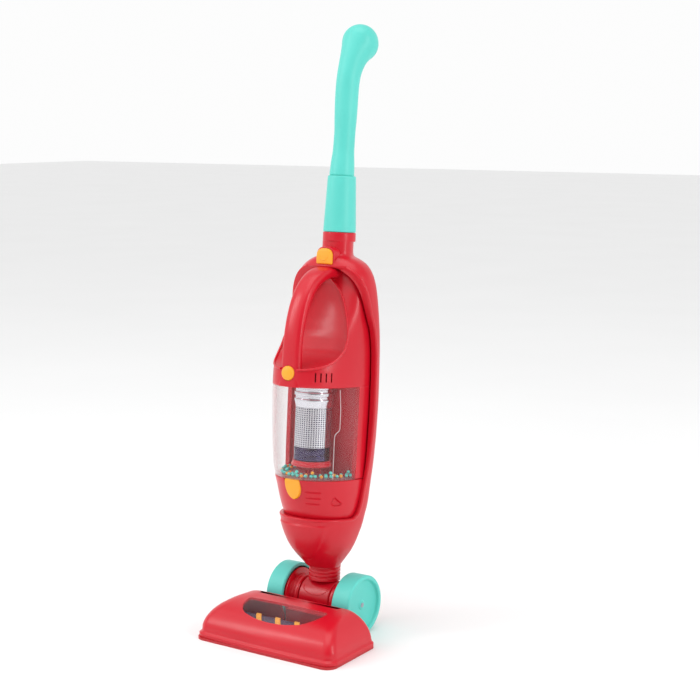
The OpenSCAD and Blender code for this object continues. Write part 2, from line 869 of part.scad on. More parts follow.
filter_y = -33;
filter_r = filter_d / 2;
foot_z = cup_z + 11;
base_z = foot_z + 6;
screen_z = base_z + 14.5;
cap_z = cup_top - 24;
module at_filter(z) {
  upright_frame() translate([0, filter_y, z]) children();
}

module filter_cap() {
  color("silver")
    at_filter(cap_z) {
      difference() {
        union() {
          cylinder(r1 = filter_r - 0.5, r2 = filter_r + 1.6, h = 9);
          translate([0, 0, 9]) cylinder(r = filter_r + 0.4, h = 3.5);
          translate([0, 0, 12.5]) cylinder(r = filter_r + 1.6, h = 4);
          translate([0, 0, 16.5]) cylinder(r = filter_r + 0.4, h = 7.3);
        }
        translate([0, 0, -1]) cylinder(r = filter_r - 4, h = 30);
      }
    }
}

module filter_screen() {
  color("silver")
    at_filter(screen_z)
      difference() {
        cylinder(r = filter_r, h = cap_z - screen_z);
        translate([0, 0, -1]) cylinder(r = filter_r - 1.5, h = cup_h);
      }
}

module filter_base() {
  color("#5b5c6b")
    at_filter(base_z)
      difference() {
        cylinder(r = filter_r, h = screen_z - base_z);
        translate([0, 0, 1.6]) cylinder(r = filter_r - 1.5, h = 20);
      }
}

module filter_foot() {
  color(RED)
    at_filter(foot_z) cylinder(r = filter_r + 1, h = base_z - foot_z);
}

// Two rows of beads lie on the cup's floor along its curved front; every fourth is yellow.
bead_r = 2.2;
bead_rows = [[24, bead_r + cup_wall + 2.6], [16, 3 * bead_r + cup_wall + 4.4]];
bead_back_y = frame_wall_y - unit_wall - liner_t - bead_r - 0.5;
function bead_reach(inset) = 0.835 * unit_front + unit_mid - inset;
module beads(is_yellow) {
  for (row = bead_rows)
    for (i = [0 : row[0] - 1])
      if ((i % 4 == 2) == is_yellow) {
        reach = bead_reach(row[1]);
        start = max(8, asin((unit_mid - bead_back_y) / reach));
        a = -start - (180 - 2 * start) * i / (row[0] - 1);
        translate([(0.99 * unit_half - row[1]) * cos(a),
          unit_mid + reach * sin(a),
          cup_z + cup_wall + seat_gap + bead_r + 0.3])
          sphere(r = bead_r, $fn = 16);
      }
}

module beads_turquoise() {
  color(TURQUOISE) upright_frame() beads(false);
}

module beads_yellow() {
  color(YELLOW) upright_frame() beads(true);
}

door_w = 56;
door_h = 66;
door_z = cup_z + 16;
module door_space() {
  translate([-door_w / 2, 11.5, door_z]) cube([door_w, 20, door_h]);
}

module battery_door() {
  color(RED)
    upright_frame()
      intersection() {
        difference() {
          unit_form(cup_rows);
          unit_form(cup_rows, -unit_wall);
        }
        translate([-door_w / 2 + 0.3, 11.5, door_z + 0.3]) cube([door_w - 0.6, 20, door_h - 0.6]);
      }
}

battery_d = 14.5;
battery_h = 50.5;
battery_y = frame_wall_y + unit_wall + battery_d / 2 + 1.2;
battery_z = door_z + 7;
module batteries() {
  color("#c98f3a")
    upright_frame()
      for (i = [-1 : 1])
        translate([i * (battery_d + 0.8), battery_y, battery_z]) {
          cylinder(d = battery_d, h = battery_h - 1.5);
          translate([0, 0, battery_h - 1.5]) cylinder(d = 5.5, h = 1.5);
        }
}

module battery_contacts() {
  color(STEEL)
    upright_frame()
      for (z = [battery_z - 0.9, battery_z + battery_h + 0.1])
        for (i = [-1 : 1])
          translate([i * (battery_d + 0.8) - 4, battery_y - 4, z]) cube([8, 8, 0.7]);
}

module circuit_board() {
  color("seagreen")
    upright_frame() {
      translate([-20, 4, cup_top + 8]) cube([40, 1.6, 44]);
      translate([-6, 1, cup_top + 22]) cube([12, 3, 12]);
    }
}

module speaker() {
  color("#333338")
    upright_frame()
      translate([0, -34, cup_top + 3]) {
        cylinder(r = 14, h = 4);
        translate([0, 0, 4]) cylinder(r = 8, h = 5);
      }
}

module power_switch() {
  color("#333338")
    upright_frame() translate([-4, button_y + 17.5, button_z - 7]) cube([8, 6, 8]);
}

shield_space = filter_y - shield_y;
motor_r = 0.365 * shield_space;
module motor() {
  color(STEEL)
    upright_frame()
      translate([0, filter_y, cup_z - unit_wall - 26]) {
        difference() {
          cylinder(r = motor_r, h = 25.6);
          translate([0, 0, 8]) cylinder(r = 1 + run_gap, h = 30);
        }
      }
}

module unit_screws() {
  color(STEEL)
    upright_frame()
      for (side = [-1, 1])
        translate([side * 34, unit_mid + 6, cup_z + 1]) cylinder(d = 5, h = 1.8);
}

// ---------- buttons of the handheld unit ----------

module power_button() {
  color(YELLOW)
    upright_frame()
      translate([0, button_y, button_z])
        rotate([-90, 0, 0]) {
          cylinder(d = button_d, h = 9);
          cylinder(d = 4, h = 14);
        }
}

module power_spring() {
  color(STEEL)
    upright_frame()
      translate([0, button_y + 9.2, button_z])
        rotate([-90, 0, 0])
          difference() {
            cylinder(d = 8, h = 6.4);
            translate([0, 0, -1]) cylinder(d = 6, h = 9);
          }
}

module shield_button() {
  color(YELLOW) upright_frame() shield_at(shield_depth) linear_extrude(shield_depth + 1.2) shield_shape(0);
}

shield_spring_l = 0.2 * shield_space;
module shield_spring() {
  color(STEEL)
    upright_frame()
      shield_at(shield_depth + 0.4 + shield_spring_l)
        difference() {
          cylinder(d = 7, h = shield_spring_l);
          translate([0, 0, -1]) cylinder(d = 5.4, h = 9);
        }
}

// ---------- fan that stirs the beads ----------

// Its blades reach a little over half way to the inner row of beads.
fan_r = 0.535 * (bead_reach(bead_rows[1][1]) - unit_mid + filter_y);
module fan() {
  color(RED)
    at_filter(cup_z + cup_wall + 1.4) {
      cylinder(r = 4, h = 5.6);
      for (i = [0 : 4])
        rotate([0, 0, 72 * i]) translate([3, -0.6, 0]) cube([fan_r - 3, 1.2, 5]);
      translate([0, 0, -16]) cylinder(r = 1, h = 17);
    }
}

// ---------- every node ----------

hood();
base_plate();
hood_window();
axle_housing();
axle_bushes();
brush_bearings();
head_screws();
wheel_left();
wheel_right();
wheel_axle();
brush_roll();
brush_bands();
brush_shaft();
cradle_front();
cradle_back();
pivot_neck();
handle_lower();
handle_upper();
handle_plug();
latch_spring();
cradle_screws();
latch_button();
case_left();
case_right();
base_housing();
cup_back();
dust_cup();
filter_cap();
filter_screen();
filter_base();
filter_foot();
beads_turquoise();
beads_yellow();
battery_door();
batteries();
battery_contacts();
circuit_board();
speaker();
power_switch();
motor();
unit_screws();
power_button();
power_spring();
shield_button();
shield_spring();
fan();
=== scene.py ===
# Looks of the toy upright vacuum cleaner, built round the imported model. Lengths are millimetres
# until a mesh is made. Upright pieces are drawn in the pole's own frame: origin on the wheel
# axle, Z up the pole, front at -Y.
import math
import random

import bmesh
import bpy
import numpy as np
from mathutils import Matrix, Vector


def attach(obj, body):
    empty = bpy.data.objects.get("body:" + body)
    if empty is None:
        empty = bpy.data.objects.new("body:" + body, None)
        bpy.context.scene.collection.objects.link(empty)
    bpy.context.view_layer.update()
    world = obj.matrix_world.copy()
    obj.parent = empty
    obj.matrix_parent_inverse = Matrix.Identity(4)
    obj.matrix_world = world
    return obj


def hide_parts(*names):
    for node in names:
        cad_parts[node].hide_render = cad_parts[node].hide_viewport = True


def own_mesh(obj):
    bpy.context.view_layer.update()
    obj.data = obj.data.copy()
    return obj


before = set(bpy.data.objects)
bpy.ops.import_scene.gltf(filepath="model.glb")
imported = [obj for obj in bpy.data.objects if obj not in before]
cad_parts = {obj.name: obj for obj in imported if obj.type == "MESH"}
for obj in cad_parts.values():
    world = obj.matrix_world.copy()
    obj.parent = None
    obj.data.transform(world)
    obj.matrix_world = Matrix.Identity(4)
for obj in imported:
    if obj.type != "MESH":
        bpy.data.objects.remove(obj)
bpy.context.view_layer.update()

# ---------- sizes, as in part.scad ----------
LEAN = math.radians(4.5)
AXLE_Z = 32.0
UNIT_HALF, UNIT_FRONT, UNIT_BACK, UNIT_MID = 46.5, 81.5, 17.0, -8.0
CUP_Z, CUP_TOP = 136.0, 233.0
CUP_EDGE = -17.0
DOCK_GAP = 1.6
COLLAR_Z, SEAM_Z = 392.0, 451.0
FILTER_Y, FILTER_R = -33.0, 19.0
HEAD_W, HEAD_FRONT, HEAD_H, REAR_Y = 176.0, 112.0, 40.0, -27.0
WHEEL_R, WHEEL_IN, WHEEL_W = 32.0, 32.2, 21.4
BRUSH_Y, BRUSH_Z, BRUSH_HALF = -77.0, 16.0, 64.0
TIP_Y, TIP_Z, TIP_R = -50.9, 94.0, 262.7    # line that the handheld tips about, and its top's reach


# ---------- mesh tools ----------
def leaned(points):
    """Points of the pole's frame in the world."""
    p = np.asarray(points, float).reshape(-1, 3)
    c, s = math.cos(LEAN), math.sin(LEAN)
    return np.column_stack([p[:, 0], p[:, 1] * c + p[:, 2] * s, AXLE_Z - p[:, 1] * s + p[:, 2] * c])


def curve(table, at):
    """A smooth monotone curve through rows of (x, a, b, ...), read at each x."""
    t = np.asarray(table, float)
    x, y = t[:, 0], t[:, 1:]
    h = np.diff(x)[:, None]
    d = np.diff(y, axis=0) / h
    m = np.zeros_like(y)
    m[0], m[-1] = d[0], d[-1]
    same = d[:-1] * d[1:] > 0
    m[1:-1] = np.where(same, 2 * d[:-1] * d[1:] / np.where(same, d[:-1] + d[1:], 1), 0)
    at = np.clip(np.atleast_1d(np.asarray(at, float)), x[0], x[-1])
    i = np.clip(np.searchsorted(x, at) - 1, 0, len(x) - 2)
    u = ((at - x[i]) / h[i, 0])[:, None]
    return ((1 + 2 * u) * (1 - u) ** 2 * y[i] + u * (1 - u) ** 2 * h[i] * m[i]
            + u * u * (3 - 2 * u) * y[i + 1] + u * u * (u - 1) * h[i] * m[i + 1])


def grid_faces(rows, cols, closed, start=0):
    faces = []
    for r in range(rows - 1):
        for c in range(cols if closed else cols - 1):
            a, b = start + r * cols + c, start + r * cols + (c + 1) % cols
            faces.append((a, b, b + cols, a + cols))
    return faces


def tube(rings, caps=True):
    """Closed rings joined in order, as (points, faces)."""
    rings = np.asarray(rings, float)
    rows, cols = rings.shape[:2]
    faces = grid_faces(rows, cols, True)
    if caps:
        faces += [tuple(range(cols)), tuple(range((rows - 1) * cols, rows * cols))]
    return rings.reshape(-1, 3), faces


def join(*shapes):
    """Several (points, faces) as one."""
    points, faces, n = [], [], 0
    for p, f in shapes:
        points.append(np.asarray(p, float).reshape(-1, 3))
        faces += [tuple(i + n for i in face) for face in f]
        n += len(points[-1])
    return np.vstack(points), faces


def fillet(points, radius, closed=False, steps=5):
    """A 2-D line with its corners rounded."""
    p = [np.asarray(q, float) for q in points]
    out = [] if closed else [p[0]]
    n = len(p)
    for i in range(n) if closed else range(1, n - 1):
        a, b, c = p[i - 1], p[i], p[(i + 1) % n]
        la, lc = np.linalg.norm(a - b), np.linalg.norm(c - b)
        if la < 1e-9 or lc < 1e-9:
            continue
        r = min(radius, 0.45 * la, 0.45 * lc)
        q0, q1 = b + (a - b) / la * r, b + (c - b) / lc * r
        for k in range(steps + 1):
            t = k / steps
            out.append((1 - t) ** 2 * q0 + 2 * t * (1 - t) * b + t * t * q1)
    if not closed:
        out.append(p[-1])
    return np.array(out)


def basis(axis):
    a = np.asarray(axis, float)
    a = a / np.linalg.norm(a)
    u = np.cross(a, [0, 1, 0] if abs(a[1]) < 0.9 else [1, 0, 0])
    u /= np.linalg.norm(u)
    return u, np.cross(a, u), a


def lathe(profile, origin, axis=(0, 0, 1), segments=72, closed=False):
    """Turns a profile of (radius, height) round an axis through origin."""
    u, v, a = basis(axis)
    o = np.asarray(origin, float)
    prof = np.asarray(profile, float)
    if closed:
        prof = np.vstack([prof, prof[:1]])
    ang = np.linspace(0, 2 * math.pi, segments, endpoint=False)
    circle = np.cos(ang)[:, None] * u + np.sin(ang)[:, None] * v
    rings = o + prof[:, 1][:, None, None] * a + prof[:, 0][:, None, None] * circle
    return tube(rings, caps=False)


def swept(path, radius, segments=10, closed=False):
    """A round bar along a 3-D path."""
    path = np.asarray(path, float)
    n = len(path)
    if closed:
        tangent = np.roll(path, -1, 0) - np.roll(path, 1, 0)
    else:
        tangent = np.gradient(path, axis=0)
    tangent /= np.linalg.norm(tangent, axis=1)[:, None]
    u = basis(tangent[0])[0]
    radius = np.broadcast_to(radius, (n,))
    rings = []
    for i in range(n):
        u = u - tangent[i] * np.dot(u, tangent[i])
        u /= np.linalg.norm(u)
        v = np.cross(tangent[i], u)
        ang = np.linspace(0, 2 * math.pi, segments, endpoint=False)
        rings.append(path[i] + radius[i] * (np.cos(ang)[:, None] * u + np.sin(ang)[:, None] * v))
    if closed:
        points, faces = tube(rings, caps=False)
        last = (n - 1) * segments
        faces += [(last + k, last + (k + 1) % segments, (k + 1) % segments, k) for k in range(segments)]
        return points, faces
    return tube(rings)


def prism(outline, low, high, edge=0.0, place=None):
    """A closed 2-D outline between two heights, its upper edge rounded by edge. place maps
    (a, b, height) to the frame."""
    o = np.asarray(outline, float)
    centre = o.mean(0)
    size = np.abs(o - centre).max()
    rings = [np.column_stack([o, np.full(len(o), low)])]
    if edge:
        for k in range(6):
            t = k / 5 * math.pi / 2
            inset = edge * (1 - math.cos(t))
            shrunk = centre + (o - centre) * (1 - inset / size)
            rings.append(np.column_stack([shrunk, np.full(len(o), high - edge + edge * math.sin(t))]))
    else:
        rings.append(np.column_stack([o, np.full(len(o), high)]))
    points, faces = tube(rings)
    return (points if place is None else place(points)), faces


def box(low, high):
    (x0, y0, z0), (x1, y1, z1) = low, high
    return prism([(x0, y0), (x1, y0), (x1, y1), (x0, y1)], z0, z1)


def add_object(name, data):
    obj = bpy.data.objects.new(name, data)
    bpy.context.scene.collection.objects.link(obj)
    return obj


def mesh_object(name, shape, leaning=True):
    """A mesh of (points, faces), cleaned, with its normals outward."""
    points, faces = shape
    points = leaned(points) if leaning else np.asarray(points, float)
    mesh = bpy.data.meshes.new(name)
    mesh.from_pydata((points / 1000).tolist(), [], faces)
    bm = bmesh.new()
    bm.from_mesh(mesh)
    bmesh.ops.remove_doubles(bm, verts=bm.verts, dist=2e-6)
    bmesh.ops.delete(bm, geom=[v for v in bm.verts if not v.link_faces], context="VERTS")
    bmesh.ops.recalc_face_normals(bm, faces=bm.faces)
    bm.to_mesh(mesh)
    bm.free()
    return add_object(name, mesh)


def apply_modifiers(obj):
    depsgraph = bpy.context.evaluated_depsgraph_get()
    mesh = bpy.data.meshes.new_from_object(obj.evaluated_get(depsgraph))
    obj.modifiers.clear()
    obj.data = mesh


def carve(obj, cutters, leaning=True, keep=False):
    """Cuts closed shapes out of a closed piece, or keeps only what is inside them."""
    cutter = mesh_object("cutter", join(*cutters), leaning)
    mod = obj.modifiers.new("carve", "BOOLEAN")
    mod.operation = "INTERSECT" if keep else "DIFFERENCE"
    mod.solver = "MANIFOLD"
    mod.object = cutter
    apply_modifiers(obj)
    bpy.data.objects.remove(cutter)


def bevel_sharp(obj, width, angle=40, segments=3):
    mod = obj.modifiers.new("bevel", "BEVEL")
    mod.width, mod.segments = width / 1000, segments
    mod.limit_method, mod.angle_limit = "ANGLE", math.radians(angle)
    mod.miter_outer = "MITER_ARC"
    apply_modifiers(obj)


def settle(obj, material, body, nodes=(), sharp=38):
    """Gives a finished piece its material and slot, its smooth shading and its body."""
    obj.data.materials.clear()
    obj.data.materials.append(material)
    obj.data.shade_smooth()
    obj.data.set_sharp_from_angle(angle=math.radians(sharp))
    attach(obj, body)
    if nodes:
        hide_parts(*nodes)
    return obj


def piece(name, shape, material, body, nodes=(), leaning=True, sharp=38):
    """A piece that needs nothing more than its shape."""
    return settle(mesh_object(name, shape, leaning), material, body, nodes, sharp)


# ---------- materials ----------
# Noise scales of moulded plastic: pigment, scuffs, orange peel and the mould's slow waves.
DRIFT_SCALE, SCUFF_SCALE, PEEL_SCALE, BROAD_SCALE = 14, 70, 900, 60


def linear(code):
    rgb = [int(code[i:i + 2], 16) / 255 for i in (1, 3, 5)]
    return [c / 12.92 if c <= 0.04045 else ((c + 0.055) / 1.055) ** 2.4 for c in rgb] + [1.0]


def new_material(name):
    mat = bpy.data.materials.new(name)
    mat.use_nodes = True
    nodes = mat.node_tree.nodes
    return mat, nodes, mat.node_tree.links, nodes["Principled BSDF"]


def noise(nodes, links, coords, scale, detail=3.0, stretch=None):
    node = nodes.new("ShaderNodeTexNoise")
    node.inputs["Scale"].default_value = scale
    node.inputs["Detail"].default_value = detail
    if stretch:
        mapping = nodes.new("ShaderNodeMapping")
        mapping.inputs["Scale"].default_value = stretch
        links.new(coords, mapping.inputs["Vector"])
        coords = mapping.outputs["Vector"]
    links.new(coords, node.inputs["Vector"])
    return node.outputs["Fac"]


def mixed(nodes, links, fac, low, high):
    """A colour between two colours. low may be another node's output."""
    node = nodes.new("ShaderNodeMix")
    node.data_type = "RGBA"
    if isinstance(low, bpy.types.NodeSocket):
        links.new(low, node.inputs["A"])
    else:
        node.inputs["A"].default_value = low
    node.inputs["B"].default_value = high
    links.new(fac, node.inputs["Factor"])
    return node.outputs["Result"]


def ramp(nodes, links, fac, low, high, start=0.3, end=0.7):
    node = nodes.new("ShaderNodeMapRange")
    node.inputs["From Min"].default_value, node.inputs["From Max"].default_value = start, end
    node.inputs["To Min"].default_value, node.inputs["To Max"].default_value = low, high
    links.new(fac, node.inputs["Value"])
    return node.outputs["Result"]


def moulded(name, colour, deep, rough=0.3, grain=0.02, coat=0.0, metal=0.0, specular=0.5, edge_wear_and_highlight=0.5):
    """Moulded plastic: slight pigment drift, a fine orange-peel surface, hairline scuffs that
    change the gloss, and convex edges painted a little paler, partly worn and partly a painted edge highlight."""
    mat, nodes, links, shader = new_material(name)
    coords = nodes.new("ShaderNodeTexCoord").outputs["Object"]
    drift = noise(nodes, links, coords, DRIFT_SCALE, 2)
    pigment = mixed(nodes, links, ramp(nodes, links, drift, 0.35, 1.0), linear(deep), linear(colour))
    # Convex edges, found by pointiness, are painted paler: partly worn, partly a painted edge highlight.
    edge = nodes.new("ShaderNodeNewGeometry").outputs["Pointiness"]
    paler = [min(1, c * 1.25 + 0.03) for c in linear(colour)[:3]] + [1]
    rubbed_and_highlit = mixed(nodes, links, ramp(nodes, links, edge, 0.0, edge_wear_and_highlight, 0.52, 0.62), pigment, paler)
    links.new(rubbed_and_highlit, shader.inputs["Base Color"])
    scuffs = noise(nodes, links, coords, SCUFF_SCALE, 2, (1.0, 1.0, 0.4))
    links.new(ramp(nodes, links, scuffs, rough * 0.92, rough * 1.12), shader.inputs["Roughness"])
    peel = noise(nodes, links, coords, PEEL_SCALE, 2)
    broad = noise(nodes, links, coords, BROAD_SCALE, 2)
    total = nodes.new("ShaderNodeMath")
    total.operation = "MULTIPLY_ADD"
    total.inputs[1].default_value = 3.0
    links.new(broad, total.inputs[0])
    links.new(peel, total.inputs[2])
    bump = nodes.new("ShaderNodeBump")
    bump.inputs["Strength"].default_value = 0.25
    bump.inputs["Distance"].default_value = grain / 1000
    links.new(total.outputs["Value"], bump.inputs["Height"])
    links.new(bump.outputs["Normal"], shader.inputs["Normal"])
    shader.inputs["Metallic"].default_value = metal
    shader.inputs["Specular IOR Level"].default_value = specular
    shader.inputs["Coat Weight"].default_value = coat
    shader.inputs["Coat Roughness"].default_value = 0.12
    return mat


def clear_plastic(name, tint, rest=0.12, rim=0.75, rough=0.06):
    """Thin clear polystyrene with flow marks. Its pale tint grows denser where the wall is seen edge on: partly the
    wall's depth, partly a painted reflection.
    """
    mat, nodes, links, shader = new_material(name)
    coords = nodes.new("ShaderNodeTexCoord").outputs["Object"]
    # Alpha follows facing, so the pale tint shows where the wall is edge on: partly the wall's depth, partly a
    # painted reflection.
    facing = nodes.new("ShaderNodeLayerWeight")
    facing.inputs["Blend"].default_value = 0.3
    flow = noise(nodes, links, coords, 18, 3, (1.0, 1.0, 0.3))
    add = nodes.new("ShaderNodeMath")
    add.operation = "ADD"
    links.new(ramp(nodes, links, facing.outputs["Facing"], rest, rim, 0.3, 1.0), add.inputs[0])
    links.new(ramp(nodes, links, flow, -0.01, 0.02), add.inputs[1])
    links.new(add.outputs["Value"], shader.inputs["Alpha"])
    links.new(ramp(nodes, links, flow, rough * 0.6, rough * 1.8), shader.inputs["Roughness"])
    shader.inputs["Base Color"].default_value = linear(tint)
    shader.inputs["Specular IOR Level"].default_value = 0.9
    shader.inputs["Coat Weight"].default_value = 0.6
    shader.inputs["Coat Roughness"].default_value = 0.03
    return mat


RED = moulded("red_moulded", "#d30f26", "#c70c22", rough=0.3, coat=0.1, specular=0.42)
# A darker, duller copy of the red moulding: painted shade, given to the base plate.
RED_PAINTED_SHADE = moulded("red_painted_shade", "#b80d1c", "#a60a18", rough=0.42)
TURQUOISE = moulded("turquoise_moulded", "#62d9cd", "#57d0c4", rough=0.42, edge_wear_and_highlight=0.25)
YELLOW = moulded("yellow_moulded", "#ffb02a", "#fba61f", rough=0.4, grain=0.05, edge_wear_and_highlight=0.2)
NAVY = moulded("brush_core", "#332e4c", "#2a2640", rough=0.5)
BRISTLE = moulded("bristle_yellow", "#f2a52a", "#dd8d18", rough=0.6, grain=0.1)
CHROME = moulded("chrome_plated", "#dfe0e6", "#cfd0d8", rough=0.14, metal=1.0, grain=0.004, edge_wear_and_highlight=0.0)
DARK_CHROME = moulded("dark_chrome", "#4d4866", "#3a3552", rough=0.1, metal=1.0, grain=0.004, edge_wear_and_highlight=0.0)
STEEL = moulded("steel_zinc", "#aeb1b8", "#9a9da6", rough=0.32, metal=1.0, grain=0.01, edge_wear_and_highlight=0.1)
NYLON = moulded("nylon_white", "#e8e4d6", "#ddd8c8", rough=0.5)
BATTERY = moulded("battery_wrap", "#b9792f", "#8f5a22", rough=0.35, coat=0.4)
BOARD = moulded("board_green", "#1f6b45", "#185437", rough=0.45)
BLACK = moulded("black_moulded", "#24242a", "#1b1b20", rough=0.5)
CLEAR = clear_plastic("cup_clear", "#ead4d6", rest=0.035, rim=0.8)
WINDOW = clear_plastic("window_clear", "#e6b4bb", rest=0.04, rim=0.2)
# The ribs' plastic is near white and much denser than the cup's: partly a painted highlight along the cup's edge.
RIB_CLEAR_AND_HIGHLIGHT = clear_plastic("cup_edge_clear_and_highlight", "#fbeef0", rest=0.35, rim=0.8)

# ---------- the handheld unit's form ----------
FRONT_N, UNIT_BACK_N, CRADLE_BACK_N = 2.15, 3.4, 3.6    # powers of the rounded sections
# (height, and shares of UNIT_HALF, UNIT_FRONT and UNIT_BACK)
UNIT_ROWS = [
    (86, 0.74, 0.53, 0.5), (92, 0.83, 0.6, 0.62), (100, 0.89, 0.65, 0.72), (111, 0.94, 0.705, 0.8),
    (125, 0.975, 0.77, 0.86), (136, 0.99, 0.835, 0.92), (150.5, 0.996, 0.895, 0.95),
    (165.1, 1, 0.93, 0.98), (184.5, 1, 0.96, 1), (208.7, 1, 0.985, 1), (233, 1, 1, 1),
    (247.8, 0.995, 0.995, 1), (262.5, 0.985, 0.94, 0.98), (277.3, 0.97, 0.81, 0.95),
    (290.8, 0.95, 0.62, 0.9), (303.1, 0.915, 0.46, 0.84), (316.6, 0.86, 0.34, 0.76),
    (328.9, 0.78, 0.26, 0.66), (338.9, 0.67, 0.2, 0.56), (346.2, 0.54, 0.17, 0.46),
    (352.3, 0.37, 0.15, 0.36), (355, 0.22, 0.14, 0.28), (355.8, 0.13, 0.12, 0.2),
]


def signed_power(v, e):
    return np.sign(v) * np.abs(v) ** e


def section(angle, w, front, back, mid, front_n=FRONT_N, back_n=UNIT_BACK_N):
    """Points of a section at each angle; 90 degrees is the back, -90 the front."""
    s, c = np.sin(angle), np.cos(angle)
    n = np.where(s > 0, back_n, front_n)
    reach = np.where(s > 0, back - mid, mid + front)
    return w * signed_power(c, 2 / n), mid + reach * signed_power(s, 2 / n)


def front_y(x, w, front, mid):
    """Where a section's front passes at x."""
    return mid - (mid + front) * (1 - (x / w) ** FRONT_N) ** (1 / FRONT_N)


def angle_at(y, front, back, mid, front_n=FRONT_N, back_n=UNIT_BACK_N):
    """Angle on a section's right half where it reaches y."""
    ahead = np.clip((mid - y) / (mid + front), 0, 1) ** (front_n / 2)
    behind = np.clip((y - mid) / (back - mid), 0, 1) ** (back_n / 2)
    return np.where(y < mid, -np.arcsin(ahead), np.arcsin(behind))


def spread(a0, a1, n, w, front, back, mid, front_n=FRONT_N, back_n=UNIT_BACK_N):
    """n angles from a0 to a1, evenly spaced along the section's edge."""
    dense = np.linspace(a0, a1, 500)
    x, y = section(dense, w, front, back, mid, front_n, back_n)
    s = np.concatenate([[0], np.cumsum(np.hypot(np.diff(x), np.diff(y)))])
    return np.interp(np.linspace(0, s[-1], n), s, dense)


def unit_size(z, grow=0.0):
    w, f, b = curve(UNIT_ROWS, z)[0]
    return w * UNIT_HALF + grow, f * UNIT_FRONT + grow, b * UNIT_BACK + grow, UNIT_MID


def tip_clear(points):
    """Keeps points inside the arc that the handheld's top may reach."""
    p = np.array(points, float).reshape(-1, 3)
    d = np.hypot(p[:, 1] - TIP_Y, p[:, 2] - TIP_Z)
    k = np.minimum(1, TIP_R / d)
    p[:, 1] = TIP_Y + (p[:, 1] - TIP_Y) * k
    p[:, 2] = TIP_Z + (p[:, 2] - TIP_Z) * k
    return p


def mirrored(half):
    """A right half loop, from the middle of the back to the middle of the front, and its mirror."""
    left = half[-2:0:-1].copy()
    left[:, 0] *= -1
    return np.vstack([half, left])


# Bowl of the finger opening: (height, half width of its edge, depth behind the edge).
BOWL = [(250.9, 9, 0), (251.5, 18, 0.2), (253.2, 26.5, 0.8), (256, 33, 1.8), (260.2, 37, 3.2), (265.5, 39.2, 5),
        (272.4, 40.4, 7.4), (280, 40.2, 9.4), (287.5, 39, 10.4), (295, 36.8, 10.6), (307, 32, 10), (319, 26, 8.4),
        (330, 18.2, 5.6), (337, 11.2, 3.2), (341, 5.6, 1.2), (343, 2.6, 0.2)]
FLAT_Z, BOWL_Z = 233.8, BOWL[0][0]


def case_row(z, x_edge, depth, side=46, front=30, inset=0.0):
    """A loop of the case at z. Its sides follow the section round to x_edge on the front, and
    a hollow of the given depth crosses between them."""
    w, f, b, mid = unit_size(z)
    x_edge = min(x_edge, 0.995 * w)
    a_cut = -np.arccos(np.clip(x_edge / w, 0, 1) ** (FRONT_N / 2))
    a = spread(math.pi / 2, a_cut, side, w, f, b, mid)
    x, y = section(a, w, f, b, mid)
    a2 = spread(a_cut, -math.pi / 2, front, w, f, b, mid)[1:]
    x2, y2 = section(a2, w, f, b, mid)
    x2[-1] = x[0] = 0
    if depth is not None:
        across = 1 - (x2 / x[-1]) ** 2
        y2 = y[-1] + depth * np.clip(across, 0, 1) ** 0.62
    xs, ys = np.append(x, x2), np.append(y, y2)
    if inset:
        fade = np.clip((CUP_EDGE - ys) / 6, 0, 1)
        xs, ys = xs * (1 - fade * inset / w), ys + fade * inset
    return mirrored(np.column_stack([xs, ys, np.full(len(xs), z)]))


def bowl_levels():
    """BOWL's rows, made even along its edge."""
    table = np.array(BOWL)
    steps = np.concatenate([[0], np.cumsum(np.hypot(np.diff(table[:, 0]), np.diff(table[:, 1])))])
    at = np.linspace(0, steps[-1], 96)
    return curve(np.column_stack([steps, table]), at)


def case_shape():
    """The case above the cup, hollowed by the bowl. Above the bowl its edge closes to a point."""
    foot_edge, top_edge = BOWL[0][1], BOWL[-1][1]
    tip = [(344, 1), (346, 1), (348, 1), (350, 1), (352, 0.9), (353, 0.8), (354, 0.7), (355, 0.6),
           (355.5, 0.5), (355.8, 0.4)]
    rows = [case_row(CUP_TOP, foot_edge, None, inset=0.7), case_row(CUP_TOP + 0.25, foot_edge, None, inset=0.25)]
    rows += [case_row(z, foot_edge, None) for z in [FLAT_Z, *np.linspace(236, BOWL_Z - 0.3, 9)]]
    rows += [case_row(*level) for level in bowl_levels()]
    rows += [case_row(z, top_edge * share, None) for z, share in tip]
    points, faces = tube(rows)
    return tip_clear(points), faces


def bowl_lip():
    """The fine bead round the finger opening's edge."""
    path = []
    for z, x_edge, _ in bowl_levels()[1:]:
        w, f, b, mid = unit_size(z)
        x_edge = min(x_edge, 0.995 * w)
        path.append((x_edge - 0.2, front_y(x_edge, w, f, mid) - 0.35, z))
    path = tip_clear(path)
    left = path[::-1] * [-1, 1, 1]
    return swept(np.vstack([path, left]), 1.25, 12)


def frame_shape():
    """The part of the case that stands behind the clear cup, with a recess for the filter."""
    rings = []
    for z in np.concatenate([[136.2, 136.6], np.linspace(138, 232.9, 44)]):
        w, f, b, mid = unit_size(z, -0.5 if z < 136.5 else 0)
        a = spread(math.pi / 2, angle_at(np.array(CUP_EDGE), f, b, mid), 46, w, f, b, mid)
        x, y = section(a, w, f, b, mid)
        x[0] = 0
        edge = x[-1]
        inner = np.array([(edge - 2.6, CUP_EDGE), (edge - 5, CUP_EDGE), (edge - 5.4, -12.4),
                          (edge - 12, -11.4), (20, -11.2), (10, -11.2), (0, -11.2)])
        half = np.vstack([np.column_stack([x, y]), inner])
        rings.append(mirrored(np.column_stack([half, np.full(len(half), z)])))
    return tube(rings)


